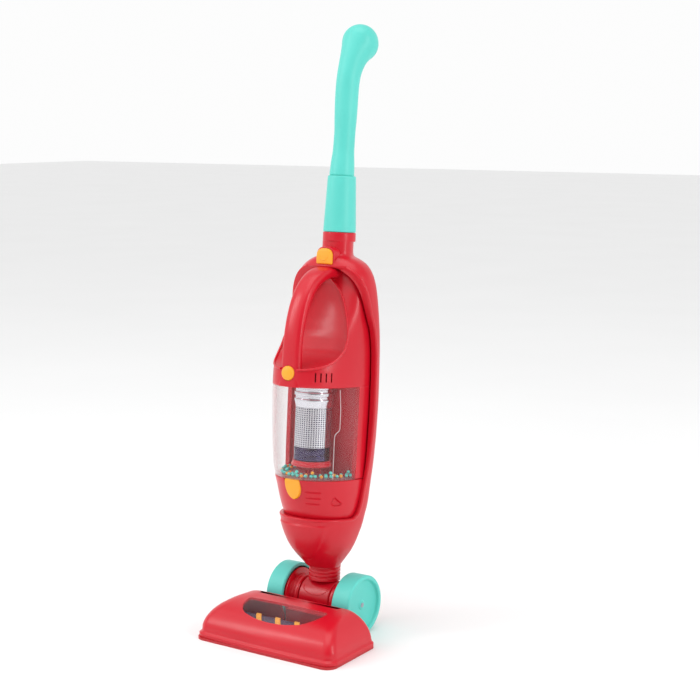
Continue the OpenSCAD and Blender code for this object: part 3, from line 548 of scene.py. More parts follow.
# Handle strip in side view: outer (y, z), inner (y, z) and half width.
STRIP = [
    ((-82.0, 233.0), (-66, 233.2), 15.5), ((-81.6, 239), (-66.5, 239), 14.2), ((-81.0, 246), (-67.5, 246), 12.8),
    ((-80.6, 253), (-68.4, 252.5), 11.8), ((-80.3, 262), (-69, 261), 11.3), ((-79.9, 273), (-69, 271), 11.1),
    ((-79, 285), (-68.4, 282), 11.1), ((-77.2, 297), (-66.4, 293), 11.1), ((-74.6, 308), (-63.8, 303), 11.1),
    ((-71, 319), (-60.2, 312.4), 11.1), ((-66.6, 328.4), (-55.8, 320.6), 11.1), ((-61, 336.6), (-50.6, 327.8), 11.1),
    ((-54.4, 343.6), (-44.6, 333.6), 11.3), ((-46.6, 349.2), (-38, 338), 11.8),
    ((-38, 353.2), (-31, 341), 12.4), ((-29, 355.4), (-24, 343), 13), ((-20, 356), (-17, 344), 13.4),
    ((-9, 355.2), (-9, 344), 13),
]


def strip_shape(segments=56):
    table = [(i, *o, *n, w) for i, (o, n, w) in enumerate(STRIP)]
    rings = []
    ang = np.linspace(0, 2 * math.pi, segments, endpoint=False)
    for oy, oz, iy, iz, w in curve(table, np.linspace(0, len(STRIP) - 1, 110)):
        mid = np.array([(oy + iy) / 2, (oz + iz) / 2])
        arm = np.array([oy - iy, oz - iz]) / 2
        out = signed_power(np.sin(ang), 2 / 2.5)
        across = w * signed_power(np.cos(ang), 2 / 2.7)
        rings.append(np.column_stack([across, mid[0] + arm[0] * out, mid[1] + arm[1] * out]))
    points, faces = tube(rings)
    return tip_clear(points), faces


def slot_boxes():
    shapes = []
    for side in (-1, 1):
        for i in range(4):
            cx, cy = side * (0.56 + 0.07 * i) * UNIT_HALF, -UNIT_FRONT * (0.84 - 0.057 * i)
            turn = side * math.radians(32 + 6 * i)
            p, f = prism(fillet([(-0.7, -5), (0.7, -5), (0.7, 5), (-0.7, 5)], 0.6, True), 239.3, 248.7)
            x, y = p[:, 0].copy(), p[:, 1].copy()
            p[:, 0] = cx + x * math.cos(turn) - y * math.sin(turn)
            p[:, 1] = cy + x * math.sin(turn) + y * math.cos(turn)
            shapes.append((p, f))
    return shapes


FORWARD, ACROSS = (0, -1, 0), (1, 0, 0)
BUTTON_Y, BUTTON_Z, BORE_R, BORE_Y, BORE_L = -82.4, 247.0, 7.85, -69, 19
bore = lathe([(0, 0), (BORE_R, 0), (BORE_R, BORE_L), (0, BORE_L)], (0, BORE_Y, BUTTON_Z), FORWARD, 64)
case_body = mesh_object("case_body", case_shape())
bevel_sharp(case_body, 1.3, 50)
carve(case_body, slot_boxes() + [bore])
settle(case_body, RED, "handheld", ("case_left", "case_right"))
piece("opening_lip", bowl_lip(), RED, "handheld")
strip = mesh_object("handle_strip", strip_shape())
carve(strip, [bore])
settle(strip, RED, "handheld")
piece("case_frame", frame_shape(), RED, "handheld", ("cup_back",))


def base_shape():
    rings = []
    z_rows = np.concatenate([[86, 86.3, 87], np.linspace(88, 134.6, 118), [135.2, 135.5, 135.6]])
    for z in z_rows:
        shrink = {86: 2.2, 86.3: 1.2, 87: 0.4, 135.5: 0.3, 135.6: 0.8}.get(float(z), 0)
        w, f, b, mid = unit_size(z, -shrink)
        x, y = section(spread(math.pi / 2, -math.pi / 2, 130, w, f, b, mid), w, f, b, mid)
        x[0] = x[-1] = 0
        rings.append(mirrored(np.column_stack([x, y, np.full(len(x), z)])))
    rings = np.array(rings)
    x, y, z = rings[..., 0], rings[..., 1], rings[..., 2]
    depth = np.zeros_like(x)
    front = y < -20
    for level, left, right in ((123, 13, 28), (116.6, 12, 27), (110.2, 11, 25)):
        ends = np.clip((x - left) / 1.2, 0, 1) * np.clip((right - x) / 1.2, 0, 1)
        groove = np.exp(-((z - level) / 0.55) ** 2) * ends
        depth = np.maximum(depth, 0.75 * groove * front)
    up = np.clip((z - 111.5) / 8, 0, 1)
    reach = 3.4 * (1 - up)
    drop = np.clip((reach - np.hypot(x - 36.5, np.where(z < 111.5, z - 111.5, 0))) / 1.0, 0, 1)
    depth = np.maximum(depth, 2.2 * drop * drop * (3 - 2 * drop) * front * (z > 107))
    length = np.hypot(x, y - UNIT_MID)
    rings[..., 0] = x * (1 - depth / length)
    rings[..., 1] = UNIT_MID + (y - UNIT_MID) * (1 - depth / length)
    return tube(rings)


def shield_outline(grow, steps=8):
    w, top = 19.6 / 2 + grow, 21.6 / 2 + grow
    right = [(w, top), (w - 0.5, 1), (0.72 * w, -0.5 * top), (0.34 * w, -0.86 * top), (0, -top - 0.2)]
    left = [(-x, z) for x, z in right[-2::-1]]
    return fillet(right + left, 3.0, True, steps)


SHIELD_Y, SHIELD_Z = -63.2, 125.0


def on_shield(points):
    """Drawn flat, then stood on the front with its height forward and tipped to the housing."""
    p = np.asarray(points, float)
    tip = 0.2 * p[:, 1]
    return np.column_stack([p[:, 0], SHIELD_Y - p[:, 2] - tip, SHIELD_Z + p[:, 1]])


base = mesh_object("base_housing_shell", base_shape())
carve(base, [prism(shield_outline(0.35), -9, 12, 0, on_shield)])
settle(base, RED, "handheld", ("base_housing",))
piece("release_button", prism(shield_outline(0), -6.5, 1.6, 1.1, on_shield),
      YELLOW, "cup_release", ("shield_button",))

BUTTON_FACE = [(0, 1.7), (3, 1.55), (5.2, 1.1), (6.5, 0.5), (7.2, -0.3), (7.5, -1.2), (7.5, -9), (2, -9),
               (2, -11), (0, -11)]
piece("round_button", lathe(BUTTON_FACE, (0, BUTTON_Y, BUTTON_Z), FORWARD, 64),
      YELLOW, "power_knob", ("power_button",))


# ---------- clear cup, filter and beads ----------
def cup_half(z, grow, n=60):
    w, f, b, mid = unit_size(z, grow)
    edge = CUP_EDGE - 0.15
    a = spread(angle_at(np.array(edge), f, b, mid), -math.pi / 2, n, w, f, b, mid)
    x, y = section(a, w, f, b, mid)
    x[-1] = 0
    y[0] = edge
    return np.column_stack([x, y, np.full(n, z)])


def arc_row(z, grow):
    half = cup_half(z, grow)
    left = half[-2::-1].copy()
    left[:, 0] *= -1
    return np.vstack([half, left])


def cup_shape():
    low, high, wall = 136.2, 232.8, 1.6
    rings = []
    for z in np.concatenate([[low, low + 0.4], np.linspace(low + 2, high - 2, 46), [high - 0.4, high]]):
        soft = -0.4 if z in (low, high) else 0
        rings.append(np.vstack([arc_row(z, soft), arc_row(z, -wall - soft)[::-1]]))
    floor = [arc_row(low + h, -wall - 0.05) for h in (0.02, 1.5)]
    return join(tube(rings), tube(floor))


def rib_path(side, levels):
    path = []
    for x, z in levels:
        w, f, b, mid = unit_size(z, 0.05)
        path.append((side * x, front_y(x, w, f, mid), z))
    return path


piece("clear_cup", cup_shape(), CLEAR, "handheld", ("dust_cup",))
rib_levels = [(37.5, 138.5), (38.6, 160), (39.2, 184), (41.4, 190), (41.6, 210), (41.2, 231)]
rib_z = np.linspace(138.5, 231, 60)
rib_x = curve([(z, x) for x, z in rib_levels], rib_z)[:, 0]
ribs = [swept(rib_path(s, list(zip(rib_x, rib_z))), 0.42, 8) for s in (-1, 1)]
piece("cup_ribs", join(*ribs), RIB_CLEAR_AND_HIGHLIGHT, "handheld")


def perforated(r, low, high, columns, rows, wall=0.7, share=0.6):
    """A tube of thin sheet with a grid of holes."""
    points, faces = [], []

    def at(u, v, radius):
        a = 2 * math.pi * u / columns
        return (radius * math.cos(a), FILTER_Y + radius * math.sin(a), low + (high - low) * v / rows)

    turns = math.pi / 4 + np.linspace(0, 2 * math.pi, 8, endpoint=False)
    hole = [(0.5 + share / 2 * math.cos(t), 0.5 + share / 2 * math.sin(t)) for t in turns]
    frame_points = [(1, 1), (0.5, 1), (0, 1), (0, 0.5), (0, 0), (0.5, 0), (1, 0), (1, 0.5)]
    for i in range(columns):
        for j in range(rows):
            n = len(points)
            points += [at(i + u, j + v, r) for u, v in frame_points] + [at(i + u, j + v, r) for u, v in hole]
            points += [at(i + u, j + v, r - wall) for u, v in hole]
            points += [at(i + u, j + v, r - wall) for u, v in frame_points]
            for k in range(8):
                m = (k + 1) % 8
                faces += [(n + k, n + m, n + 8 + m, n + 8 + k), (n + 8 + k, n + 8 + m, n + 16 + m, n + 16 + k),
                          (n + 16 + k, n + 16 + m, n + 24 + m, n + 24 + k)]
    return points, faces


HOLE_COLUMNS, HOLE_ROWS = 46, 19
piece("filter_mesh", perforated(FILTER_R, 167.5, 209, HOLE_COLUMNS, HOLE_ROWS, 0.7, 0.66),
      CHROME, "handheld", ("filter_screen",), sharp=60)
FILTER_AXIS = (0, FILTER_Y, 0)
core_profile = fillet([(0, 167), (17.2, 167), (17.2, 210), (0, 210)], 0.4)
piece("filter_core", lathe(core_profile, FILTER_AXIS), NAVY, "handheld")
cap_profile = [(15, 209), (18.9, 209), (19.3, 211.5), (20.6, 216), (20.6, 218), (19.4, 218.2), (19.4, 221.2),
               (20.6, 221.4), (20.6, 225.2), (19.4, 225.4), (19.4, 228.5), (20.3, 228.7), (20.3, 232.4), (15, 232.4)]
piece("filter_collar", lathe(fillet(cap_profile, 0.45, True, 3), FILTER_AXIS, closed=True),
      CHROME, "handheld", ("filter_cap",))
cup_profile = [(0, 153.2), (18.6, 153.2), (19, 154), (19, 158.6), (18.6, 159), (18.6, 159.6), (19, 160),
               (19, 167.3), (17.5, 167.3), (0, 167.3)]
piece("filter_cup", lathe(fillet(cup_profile, 0.3, False, 3), FILTER_AXIS), DARK_CHROME, "handheld", ("filter_base",))
foot_profile = [(0, 147), (21, 147), (21, 149.6), (20, 150.2), (20, 152.9), (0, 152.9)]
piece("filter_ring", lathe(fillet(foot_profile, 0.5, False, 3), FILTER_AXIS), RED, "handheld", ("filter_foot",))


def ball(centre, r, rings=10, segments=16):
    prof = [(r * math.sin(t), -r * math.cos(t)) for t in np.linspace(0, math.pi, rings)]
    return lathe(prof, centre, (0, 0, 1), segments)


BEAD_ROWS = (24, 6.2, 0.0), (16, 12.2, 0.0), (19, 9.2, 3.1)    # (count, inset from the cup, lift)


def bead_shapes(yellow):
    """The beads of one colour. Both calls draw the same random numbers for every bead."""
    random.seed(7)
    shapes = []
    for count, inset, lift in BEAD_ROWS:
        for i in range(count):
            jitter = random.uniform(-0.5, 0.5)
            if (i % 4 == 2) != yellow or (lift and i % 3 != 0):
                continue
            a = math.radians(-10 - 160 * (i + 0.35 * jitter) / (count - 1))
            reach = 0.835 * UNIT_FRONT + UNIT_MID - inset
            centre = ((0.99 * UNIT_HALF - inset) * math.cos(a), UNIT_MID + reach * math.sin(a),
                      CUP_Z + 3.7 + lift + 0.2 * jitter)
            shapes.append(ball(centre, 1.85 + 0.2 * jitter))
    return shapes


piece("bead_pile_turquoise", join(*bead_shapes(False)), TURQUOISE, "handheld", ("beads_turquoise",))
piece("bead_pile_yellow", join(*bead_shapes(True)), YELLOW, "handheld", ("beads_yellow",))


DOOR_HALF, DOOR_LOW, DOOR_HIGH, DOOR_PROUD = 27.5, 152.6, 217.4, 0.35


def door_shape():
    """Battery door on the unit's back, a shade proud of it."""
    xs = np.linspace(-DOOR_HALF, DOOR_HALF, 40)
    rings = []
    for z in np.linspace(DOOR_LOW, DOOR_HIGH, 40):
        w, f, b, mid = unit_size(z, DOOR_PROUD)
        y = mid + (b - mid) * (1 - np.abs(xs / w) ** UNIT_BACK_N) ** (1 / UNIT_BACK_N)
        outer = np.column_stack([xs, y, np.full(len(xs), z)])
        inner = outer[::-1].copy()
        inner[:, 1] -= 1.6
        rings.append(np.vstack([outer, inner]))
    return tube(rings)


door = mesh_object("battery_cover", door_shape())
bevel_sharp(door, 0.3, 50, 2)
settle(door, RED, "handheld", ("battery_door",))

# ---------- cradle ----------
# (height, half width, front, back)
CRADLE = [
    (36, 18, 21, 14), (41.8, 21.6, 27.1, 13), (49.9, 27, 36.1, 12.5), (60.4, 33.5, 44.6, 13), (74.3, 39, 51.3, 15),
    (85.3, 42.5, 54.7, 16.5), (94, 44.4, 56.4, 17.2), (108.7, 47.6, 58.4, 18), (130, 49.8, 60.4, 18.6),
    (150.6, 51.9, 60.4, 19.4), (184.5, 53.6, 60.4, 20.7), (218.4, 54.1, 60.4, 21.6), (263, 53.6, 60.4, 20.6),
    (284, 53, 60.4, 19.4), (302, 51.9, 56.4, 17.6), (318.5, 50.3, 44, 16), (333.5, 48.1, 36, 14.6),
    (345.5, 44.8, 30, 13.4), (353, 40.6, 27.4, 13.2), (358.5, 35.4, 25, 13.4), (362.5, 29.6, 23.4, 14.2),
    (365.2, 24, 21.6, 15), (367, 19.4, 19.4, 15.8), (369, 17.1, 17.1, 16.2), (373, 16.4, 16.4, 16.2),
    (384, 16.3, 16.3, 16.3),
]
# (height, y) of the rim's edge, and of the line where the back cover begins
RIM = [(102.2, -5), (106, -4.3), (136, -1.2), (174.8, 1.8), (208.8, 3.3), (263, 3.3), (290, -0.2),
       (308, -6.2), (330.5, -11.2), (345.5, -15.2), (357.6, -19.9)]
BACK_LINE = [(39, 6.5), (74, 9), (114, 12), (175, 15.4), (233, 16.6), (284, 15.4), (318.5, 12), (345.5, 9),
             (366, 7.5)]
LIP, CORNER_Y, CORNER_R = 91.2, -16.0, 11.0     # the skin ends here, and the rounded rim stands on it
SIDE_LOW, SIDE_HIGH, TOP_MID = 94.4, 357.6, 360.6
CONE_Z, FLOOR_Z, NECK_TOP, CRADLE_MID = 36.0, 85.2, 384.0, -4.0
BACK_COLS, SIDE_COLS, FRONT_COLS = 14, 16, 46


def rim_y(z):
    below = CORNER_Y + math.sqrt(max(0, CORNER_R ** 2 - (LIP + CORNER_R - z) ** 2))
    return below if z < RIM[0][0] else float(curve(RIM, z)[0, 0])


def dock_size(z):
    """Section of the space that the unit stands in, rising over its shoulders."""
    source = z if z < 269.9 else (z + 0.0669 * 269.9) / 1.0669
    w, f, b, mid = unit_size(source, DOCK_GAP)
    outer = curve(CRADLE, z)[0]
    return min(w, outer[0] - 4), min(max(f, 44.8), outer[1] - 4.6), b, mid


def column_angles(size, z, n):
    """Angles on the right half: back, the cover's parting line, the rim's edge, front."""
    w, f, b, mid = size
    y_edge = rim_y(max(z, SIDE_LOW)) if z <= SIDE_HIGH else rim_y(SIDE_HIGH)
    a_edge = angle_at(np.array(y_edge), f, b, mid, *n)
    if z < SIDE_LOW:
        w0, f0, b0 = curve(CRADLE, SIDE_LOW)[0]
        a_edge = angle_at(np.array(rim_y(SIDE_LOW)), f0, b0, CRADLE_MID, FRONT_N, CRADLE_BACK_N)
    seam = float(curve(BACK_LINE, z)[0, 0])
    seam = min(seam, mid + 0.8 * (b - mid))
    a_seam = angle_at(np.array(seam), f, b, mid, *n)
    step = 0.45 / max(10.0, w * 0.6)
    first = spread(math.pi / 2, a_seam + step, BACK_COLS, w, f, b, mid, *n)
    second = spread(a_seam - step, a_edge, SIDE_COLS, w, f, b, mid, *n)
    third = spread(a_edge, -math.pi / 2, FRONT_COLS, w, f, b, mid, *n)[1:]
    return np.concatenate([first, [a_seam], second, third])


EDGE_COL = BACK_COLS + SIDE_COLS


def skin(levels, size_at, powers_at, groove):
    """Rings of one skin. A level is (z at the front, z at the sides)."""
    rings = []
    for z_front, z_side in levels:
        low = z_side < SIDE_LOW + 1e-6
        size = size_at(z_side)
        powers = powers_at(z_side)
        a = column_angles(size, z_side, powers)
        x, y = section(a, *size, *powers)
        t = np.ones(len(a))
        ahead = slice(EDGE_COL + 1, None)
        if low:
            rise = LIP + CORNER_R - np.sqrt(np.maximum(0, CORNER_R ** 2 - np.clip(y - CORNER_Y, 0, CORNER_R) ** 2))
            t[ahead] = np.clip((rise[ahead] - LIP) / (SIDE_LOW - LIP), 0, 1)
        else:
            t[ahead] = np.clip((x[ahead] / max(1e-6, x[EDGE_COL])) ** 2, 0, 1)
        z = z_front + (z_side - z_front) * t
        pts = []
        for ai, zi in zip(a, z):
            px, py = section(np.array(ai), *size_at(zi), *powers_at(zi))
            pts.append((float(px), float(py), zi))
        half = np.array(pts)
        half[0, 0] = half[-1, 0] = 0
        if groove and 42 < z_side < 362:
            half[BACK_COLS, 0] -= 0.75
            half[BACK_COLS, 1] -= 0.35
        rings.append(mirrored(half))
    return np.array(rings)


def outer_powers(z):
    """The cradle's section turns circular where it meets the ring and the neck."""
    t = min(1.0, max(0.0, (z - 360) / 8)) + min(1.0, max(0.0, (52 - z) / 16))
    return FRONT_N - (FRONT_N - 2) * t, CRADLE_BACK_N - (CRADLE_BACK_N - 2) * t


def dock_powers(z):
    return FRONT_N, UNIT_BACK_N


def outer_size(z):
    w, f, b = curve(CRADLE, z)[0]
    return w, f, b, CRADLE_MID


def cradle_shape():
    side_rows = np.concatenate([np.linspace(SIDE_LOW, 104, 9), np.linspace(106, SIDE_HIGH, 112)])

    def ramped(front, side, front_end, side_end, n):
        return [(front + (front_end - front) * t, side + (side_end - side) * t) for t in np.linspace(0, 1, n)]

    cone = ramped(CONE_Z, CONE_Z, LIP, SIDE_LOW, 60)
    neck = ramped(TOP_MID, SIDE_HIGH, NECK_TOP, NECK_TOP, 40)
    outer = skin(cone + [(z, z) for z in side_rows[1:]] + neck[1:], outer_size, outer_powers, True)
    floor = ramped(FLOOR_Z, FLOOR_Z, LIP, SIDE_LOW, 6)
    roof = ramped(TOP_MID, SIDE_HIGH, TOP_MID + 1.9, SIDE_HIGH + 4.9, 5)
    inner = skin(floor + [(z, z) for z in side_rows[1:]] + roof[1:], dock_size, dock_powers, False)
    cols = outer.shape[1]
    right, left = EDGE_COL, cols - EDGE_COL
    gap = lambda c: right <= c < left
    shapes, boundary = [], []
    for rings, first in ((outer, len(cone) - 1), (inner, len(floor) - 1)):
        last = first + len(side_rows) - 1
        faces = [f for k, f in enumerate(grid_faces(len(rings), cols, True))
                 if not (first <= k // cols < last and gap(k % cols))]
        edge = [(r, right) for r in range(first, last + 1)] + [(last, c) for c in range(right + 1, left)]
        edge += [(r, left) for r in range(last, first - 1, -1)] + [(first, c) for c in range(left - 1, right, -1)]
        boundary.append(np.array([rings[r, c] for r, c in edge]))
        shapes.append((rings.reshape(-1, 3), faces))
    # the pocket's floor and roof, closed to a point
    for rings, row in ((inner, 0), (inner, -1)):
        loop = rings[row]
        fan = [loop * [1 - t, 1 - t, 1] + [0, UNIT_MID * t, 0] for t in (0, 0.35, 0.7, 0.999)]
        shapes.append(tube(np.array(fan)))
    shapes.append(rim_shape(*boundary))
    for row in (0, -1):
        loop = outer[row]
        shapes.append(tube(np.array([loop, loop * [0.5, 0.5, 1]])))
    return join(*shapes)


def rim_shape(out, inn):
    """The rounded rim between the two skins, standing out a little as a bead."""
    r, bead, start = 1.6, 0.7, math.radians(50)
    tangent = np.roll(out, -1, 0) - np.roll(out, 1, 0)
    tangent /= np.linalg.norm(tangent, axis=1)[:, None]
    d = inn - out
    width = np.linalg.norm(d, axis=1)
    d /= width[:, None]
    up = np.cross(tangent, d)
    up /= np.linalg.norm(up, axis=1)[:, None]
    up *= np.sign(((np.array([0, -60, 225]) - out) * up).sum(1))[:, None]
    for _ in range(3):
        up = (np.roll(up, 1, 0) + up + np.roll(up, -1, 0)) / 3
        up /= np.linalg.norm(up, axis=1)[:, None]
    lift = r * math.sin(start) * up
    rings = [out]
    centre = out + (r - bead) * d + lift
    for t in np.linspace(-start, math.pi / 2, 9):
        rings.append(centre + r * (-d * math.cos(t) + up * math.sin(t)))
    ri = 1.1
    centre = inn - ri * d + lift + (r - ri) * up
    for t in np.linspace(math.pi / 2, 0, 6):
        rings.append(centre + ri * (d * math.cos(t) + up * math.sin(t)))
    rings.append(inn)
    return tube(np.array(rings), caps=False)


def cone_panel(points):
    """Raises the U-shaped panel on the front of the cone."""
    p = points.copy()
    x, y, z = p[:, 0], p[:, 1], p[:, 2]
    half = 33 * np.sqrt(np.clip((z - 46) / 44, 0, 1))
    inside = np.clip((half - np.abs(x)) / 2.0, 0, 1) * np.clip((87.5 - z) / 2.0, 0, 1) * (y < -6)
    p[:, 1] -= 1.7 * inside * inside * (3 - 2 * inside)
    return p


cradle_points, cradle_faces = cradle_shape()
piece("cradle_shell", (cone_panel(cradle_points), cradle_faces), RED, "upright", ("cradle_front", "cradle_back"))

ring_profile = [(13, 382.4), (17, 382.4), (17.4, 383.2), (17.4, 391.2), (16.8, 391.9), (13, 391.9)]
piece("pole_ring", lathe(fillet(ring_profile, 0.5, True, 4), (0, 0, 0), closed=True), RED, "upright")

# ---------- neck and housing ----------
neck_profile = [(9, 20), (17, 20), (17, 23.7), (16.3, 24.1), (16.3, 24.8), (17, 25.2), (17, 27.7), (16.3, 28.1),
                (16.3, 28.8), (17, 29.2), (17, 31.7), (16.3, 32.1), (16.3, 32.8), (17, 33.2), (17.2, 35.85),
                (17.2, 37), (9, 37)]
barrel_profile = [(2.6, -19.5), (18.9, -19.5), (20, -18.6), (20, 18.6), (18.9, 19.5), (2.6, 19.5)]
saddle = []
for t in np.linspace(-1, 1, 48):
    a = math.radians(-90 + 62 * t)
    x, depth = 15.2 * math.sin(math.pi / 2 * t), 8.5 + 7.5 * (1 - t * t)
    z = 22 - depth
    saddle.append((x, -math.sqrt(max(1, 20.05 ** 2 - z * z)), z))
neck_parts = join(lathe(fillet(neck_profile, 0.3, True, 3), (0, 0, 0), closed=True, segments=96),
                  lathe(fillet(barrel_profile, 0.5, True, 4), (0, 0, 0), ACROSS, 96, closed=True),
                  swept(saddle, 0.45, 8))
piece("neck_barrel", neck_parts, RED, "upright", ("pivot_neck",))


def housing_shape():
    shapes = []
    for side in (-1, 1):
        prof = [(4.6, 20.4), (19.6, 20.4), (21, 21.6), (21, 24.6), (20.2, 25.2), (20.2, 25.9), (21, 26.5), (21, 30.5),
                (26.2, 30.9), (27, 31.6), (27, 33.4), (26, 34.1), (4.6, 34.1)]
        shapes.append(lathe(fillet(prof, 0.5, True, 3), (0, 0, AXLE_Z), (side, 0, 0), 96, closed=True))
        shapes.append(box((side * 24 - 3.4, -11.5, 2.7), (side * 24 + 3.4, 11.5, 26)))
    shapes.append(box((-27, -31.6, 2.7), (27, -18.6, 22.4)))
    return join(*shapes)


piece("housing_drums", housing_shape(), RED, "head", ("axle_housing",), leaning=False)


# ---------- wheels ----------
def wheel_shape(side):
    """Dished face, rim, tread, hollow back and hub. o and i are its outer and inner faces."""
    o, i, r = WHEEL_IN + WHEEL_W, WHEEL_IN, WHEEL_R
    prof = [(0, o - 3.4), (4.2, o - 3.4), (4.8, o - 3.9), (5.4, o - 4.4), (20, o - 4.2), (25.6, o - 4.0),
            (26.6, o - 3.2), (27.2, o - 0.9), (28.2, o), (30.8, o), (r, o - 1.3), (r, i + 1.2), (31.2, i), (28.9, i),
            (28.3, i + 0.8), (28.3, o - 6), (26.8, o - 6.4), (7, o - 6.4), (6.5, o - 7.2), (6.5, i + 2.8),
            (2.6, i + 2.6), (2.6, o - 5), (0, o - 5)]
    return lathe(fillet(prof, 0.35, True, 3), (0, 0, AXLE_Z), (side, 0, 0), 120, closed=True)


for side, name in ((-1, "wheel_left"), (1, "wheel_right")):
    piece(name + "_tyre", wheel_shape(side), TURQUOISE, "wheelset", (name,), leaning=False)

# ---------- hood ----------
# (share of HEAD_H, and how far the sides, the front and the rear have come in)
HOOD = [(0.0, 0, 0, 0), (0.155, 0, 0, 0), (0.2, 1.9, 2.0, 0.5), (0.35, 2.6, 2.9, 1.4), (0.52, 4.6, 5.8, 2.6),
        (0.67, 7.8, 10.8, 4.4), (0.79, 11.6, 17.4, 6.4), (0.89, 16.4, 27.5, 8.6), (0.96, 22, 42, 10.6),
        (1.0, 36, 60, 13.5)]
HOOD_LOW, HOOD_WALL, HOOD_CROWN = 2.8, 2.4, 2.0    # its lower edge, its wall and its front's bow


def hood_loop(z, half, front, rear, corner=12.0, rear_corner=6.0):
    """Outline of the hood at one height, as a loop of 120 points."""
    rear_half = half * 0.975
    corner = max(3.0, corner)

    def edge(a, b, n, bow=0.0):
        t = np.linspace(0, 1, n, endpoint=False)[:, None]
        line = np.array(a) * (1 - t) + np.array(b) * t
        line[:, 1] -= bow * 4 * (t * (1 - t))[:, 0]
        return line

    def arc(cx, cy, r, a0, a1, n):
        a = np.radians(np.linspace(a0, a1, n, endpoint=False))
        return np.column_stack([cx + r * np.cos(a), cy + r * np.sin(a)])

    loop = np.vstack([
        edge((-half + corner, -front), (half - corner, -front), 40, HOOD_CROWN),
        arc(half - corner, -front + corner, corner, -90, 0, 14),
        edge((half, -front + corner), (rear_half, rear - rear_corner), 24),
        arc(rear_half - rear_corner, rear - rear_corner, rear_corner, 0, 90, 10),
        edge((rear_half - rear_corner, rear), (-rear_half + rear_corner, rear), 40),
        arc(-rear_half + rear_corner, rear - rear_corner, rear_corner, 90, 180, 10),
        edge((-rear_half, rear - rear_corner), (-half, -front + corner), 24),
        arc(-half + corner, -front + corner, corner, 180, 270, 14),
    ])
    return np.column_stack([loop, np.full(len(loop), z)])


def hood_rings(inset):
    """Loops from the hood's foot to the middle of its top, all of them inset by the same amount."""
    rings = []
    s = np.concatenate([[0, 0.08, 0.14], np.linspace(0.155, 0.2, 4), np.linspace(0.24, 0.9, 22),
                        np.linspace(0.92, 1, 12)])
    for h, (side, front, rear) in zip(s, curve(HOOD, s)):
        z = max(HOOD_LOW, h * HEAD_H - inset)
        rings.append(hood_loop(z, HEAD_W / 2 - side - inset, HEAD_FRONT - HOOD_CROWN - front - inset,
                               REAR_Y - rear - inset, 12 - inset / 2 - 3 * h, 6 - inset / 2))
    top = rings[-1]
    centre = np.array([0, top[:, 1].mean(), top[0, 2]])
    for t in (0.25, 0.5, 0.75, 0.98):
        rings.append(top * (1 - t) + centre * t)
    return rings


def hood_shape():
    outer, inner = hood_rings(0.0), hood_rings(HOOD_WALL)
    return tube(np.array(outer[::-1] + inner))


WINDOW_OUTLINE = fillet([(-51, -62), (0, -60.6), (51, -61), (49.5, -72), (46.5, -81), (38, -91), (20, -96),
                         (0, -97.5), (-20, -96), (-38, -91), (-46.5, -81), (-49.5, -72)], 6, True, 6)
WINDOW_CUT = 12, 60    # heights that the window's cut runs between
WHEEL_GAP, WHEEL_R_GAP = 1.6, 1.3


def wheel_cutter(x0, x1):
    r = WHEEL_R + WHEEL_R_GAP
    return lathe([(0, x0), (r, x0), (r, x1), (0, x1)], (0, 0, AXLE_Z), ACROSS, 96)


hood = mesh_object("hood_shell", hood_shape(), leaning=False)
inside, outside = WHEEL_IN - WHEEL_GAP, WHEEL_IN + WHEEL_W + WHEEL_GAP
carve(hood, [wheel_cutter(-outside, -inside), wheel_cutter(inside, outside)], leaning=False)
carve(hood, [box((-31, -60, -5), (31, 20, 26.6))], leaning=False)
carve(hood, [prism(WINDOW_OUTLINE, *WINDOW_CUT)], leaning=False)
settle(hood, RED, "head", ("hood",))

window = mesh_object("hood_glass", tube(np.array(hood_rings(-0.4)[::-1] + hood_rings(1.2))), leaning=False)
carve(window, [prism(WINDOW_OUTLINE * 0.994 + [0, -0.5], *WINDOW_CUT)], leaning=False, keep=True)
settle(window, WINDOW, "head", ("hood_window",))


# ---------- brush ----------
def spiral_band(turns, start, width, radius):
    """A raised ribbon that winds round the brush roll."""
    rings = []
    for t in np.linspace(0, 1, 260):
        a = 2 * math.pi * turns * t + start
        x = -BRUSH_HALF + 2 + (2 * BRUSH_HALF - 4) * t
        across = np.array([1.0, 0, 0]) * width / 2
        out = np.array([0, math.cos(a), math.sin(a)])
        centre = np.array([x, BRUSH_Y, BRUSH_Z])
        rings.append([centre - across + out * (radius - 1.6), centre + across + out * (radius - 1.6),
                      centre + across * 0.8 + out * radius, centre - across * 0.8 + out * radius])
    return tube(np.array(rings))


half_roll = [(2.05, BRUSH_HALF), (10.2, BRUSH_HALF), (11, BRUSH_HALF - 1)]
roll_profile = [(r, -x) for r, x in half_roll] + half_roll[::-1]
piece("roll_core", lathe(fillet(roll_profile, 0.5, True), (0, BRUSH_Y, BRUSH_Z), ACROSS, 64, closed=True),
      NAVY, "brush", ("brush_roll",), leaning=False)
bands = [spiral_band(2.5, start, 7.5, 12.4) for start in (0.4, 0.4 + math.pi)]
piece("roll_bands", join(*bands), BRISTLE, "brush", ("brush_bands",), leaning=False)

# ---------- handle ----------
collar_profile = [(12, COLLAR_Z + 0.15), (16.6, COLLAR_Z + 0.15), (17.25, COLLAR_Z + 0.9), (17.1, COLLAR_Z + 5),
                  (14.85, SEAM_Z - 1), (14.3, SEAM_Z), (12, SEAM_Z)]
piece("lower_handle", lathe(fillet(collar_profile, 0.5, True), (0, 0, 0), closed=True),
      TURQUOISE, "upright", ("handle_lower",))
# (height, y of the centre line, radius)
GRIP = [(450.0, -0.4, 13.3), (464, 0.2, 12.5), (479, 1.0, 11.3), (495, 1.7, 11.15), (511, 2.1, 11.8),
        (530, 2.3, 12.2), (545, 2.9, 12.3), (556, 4.6, 12.5), (566, 7.8, 13.2), (575, 12, 14.6), (583, 17, 16.9),
        (589, 21, 18.7), (592, 22.8, 19.4)]


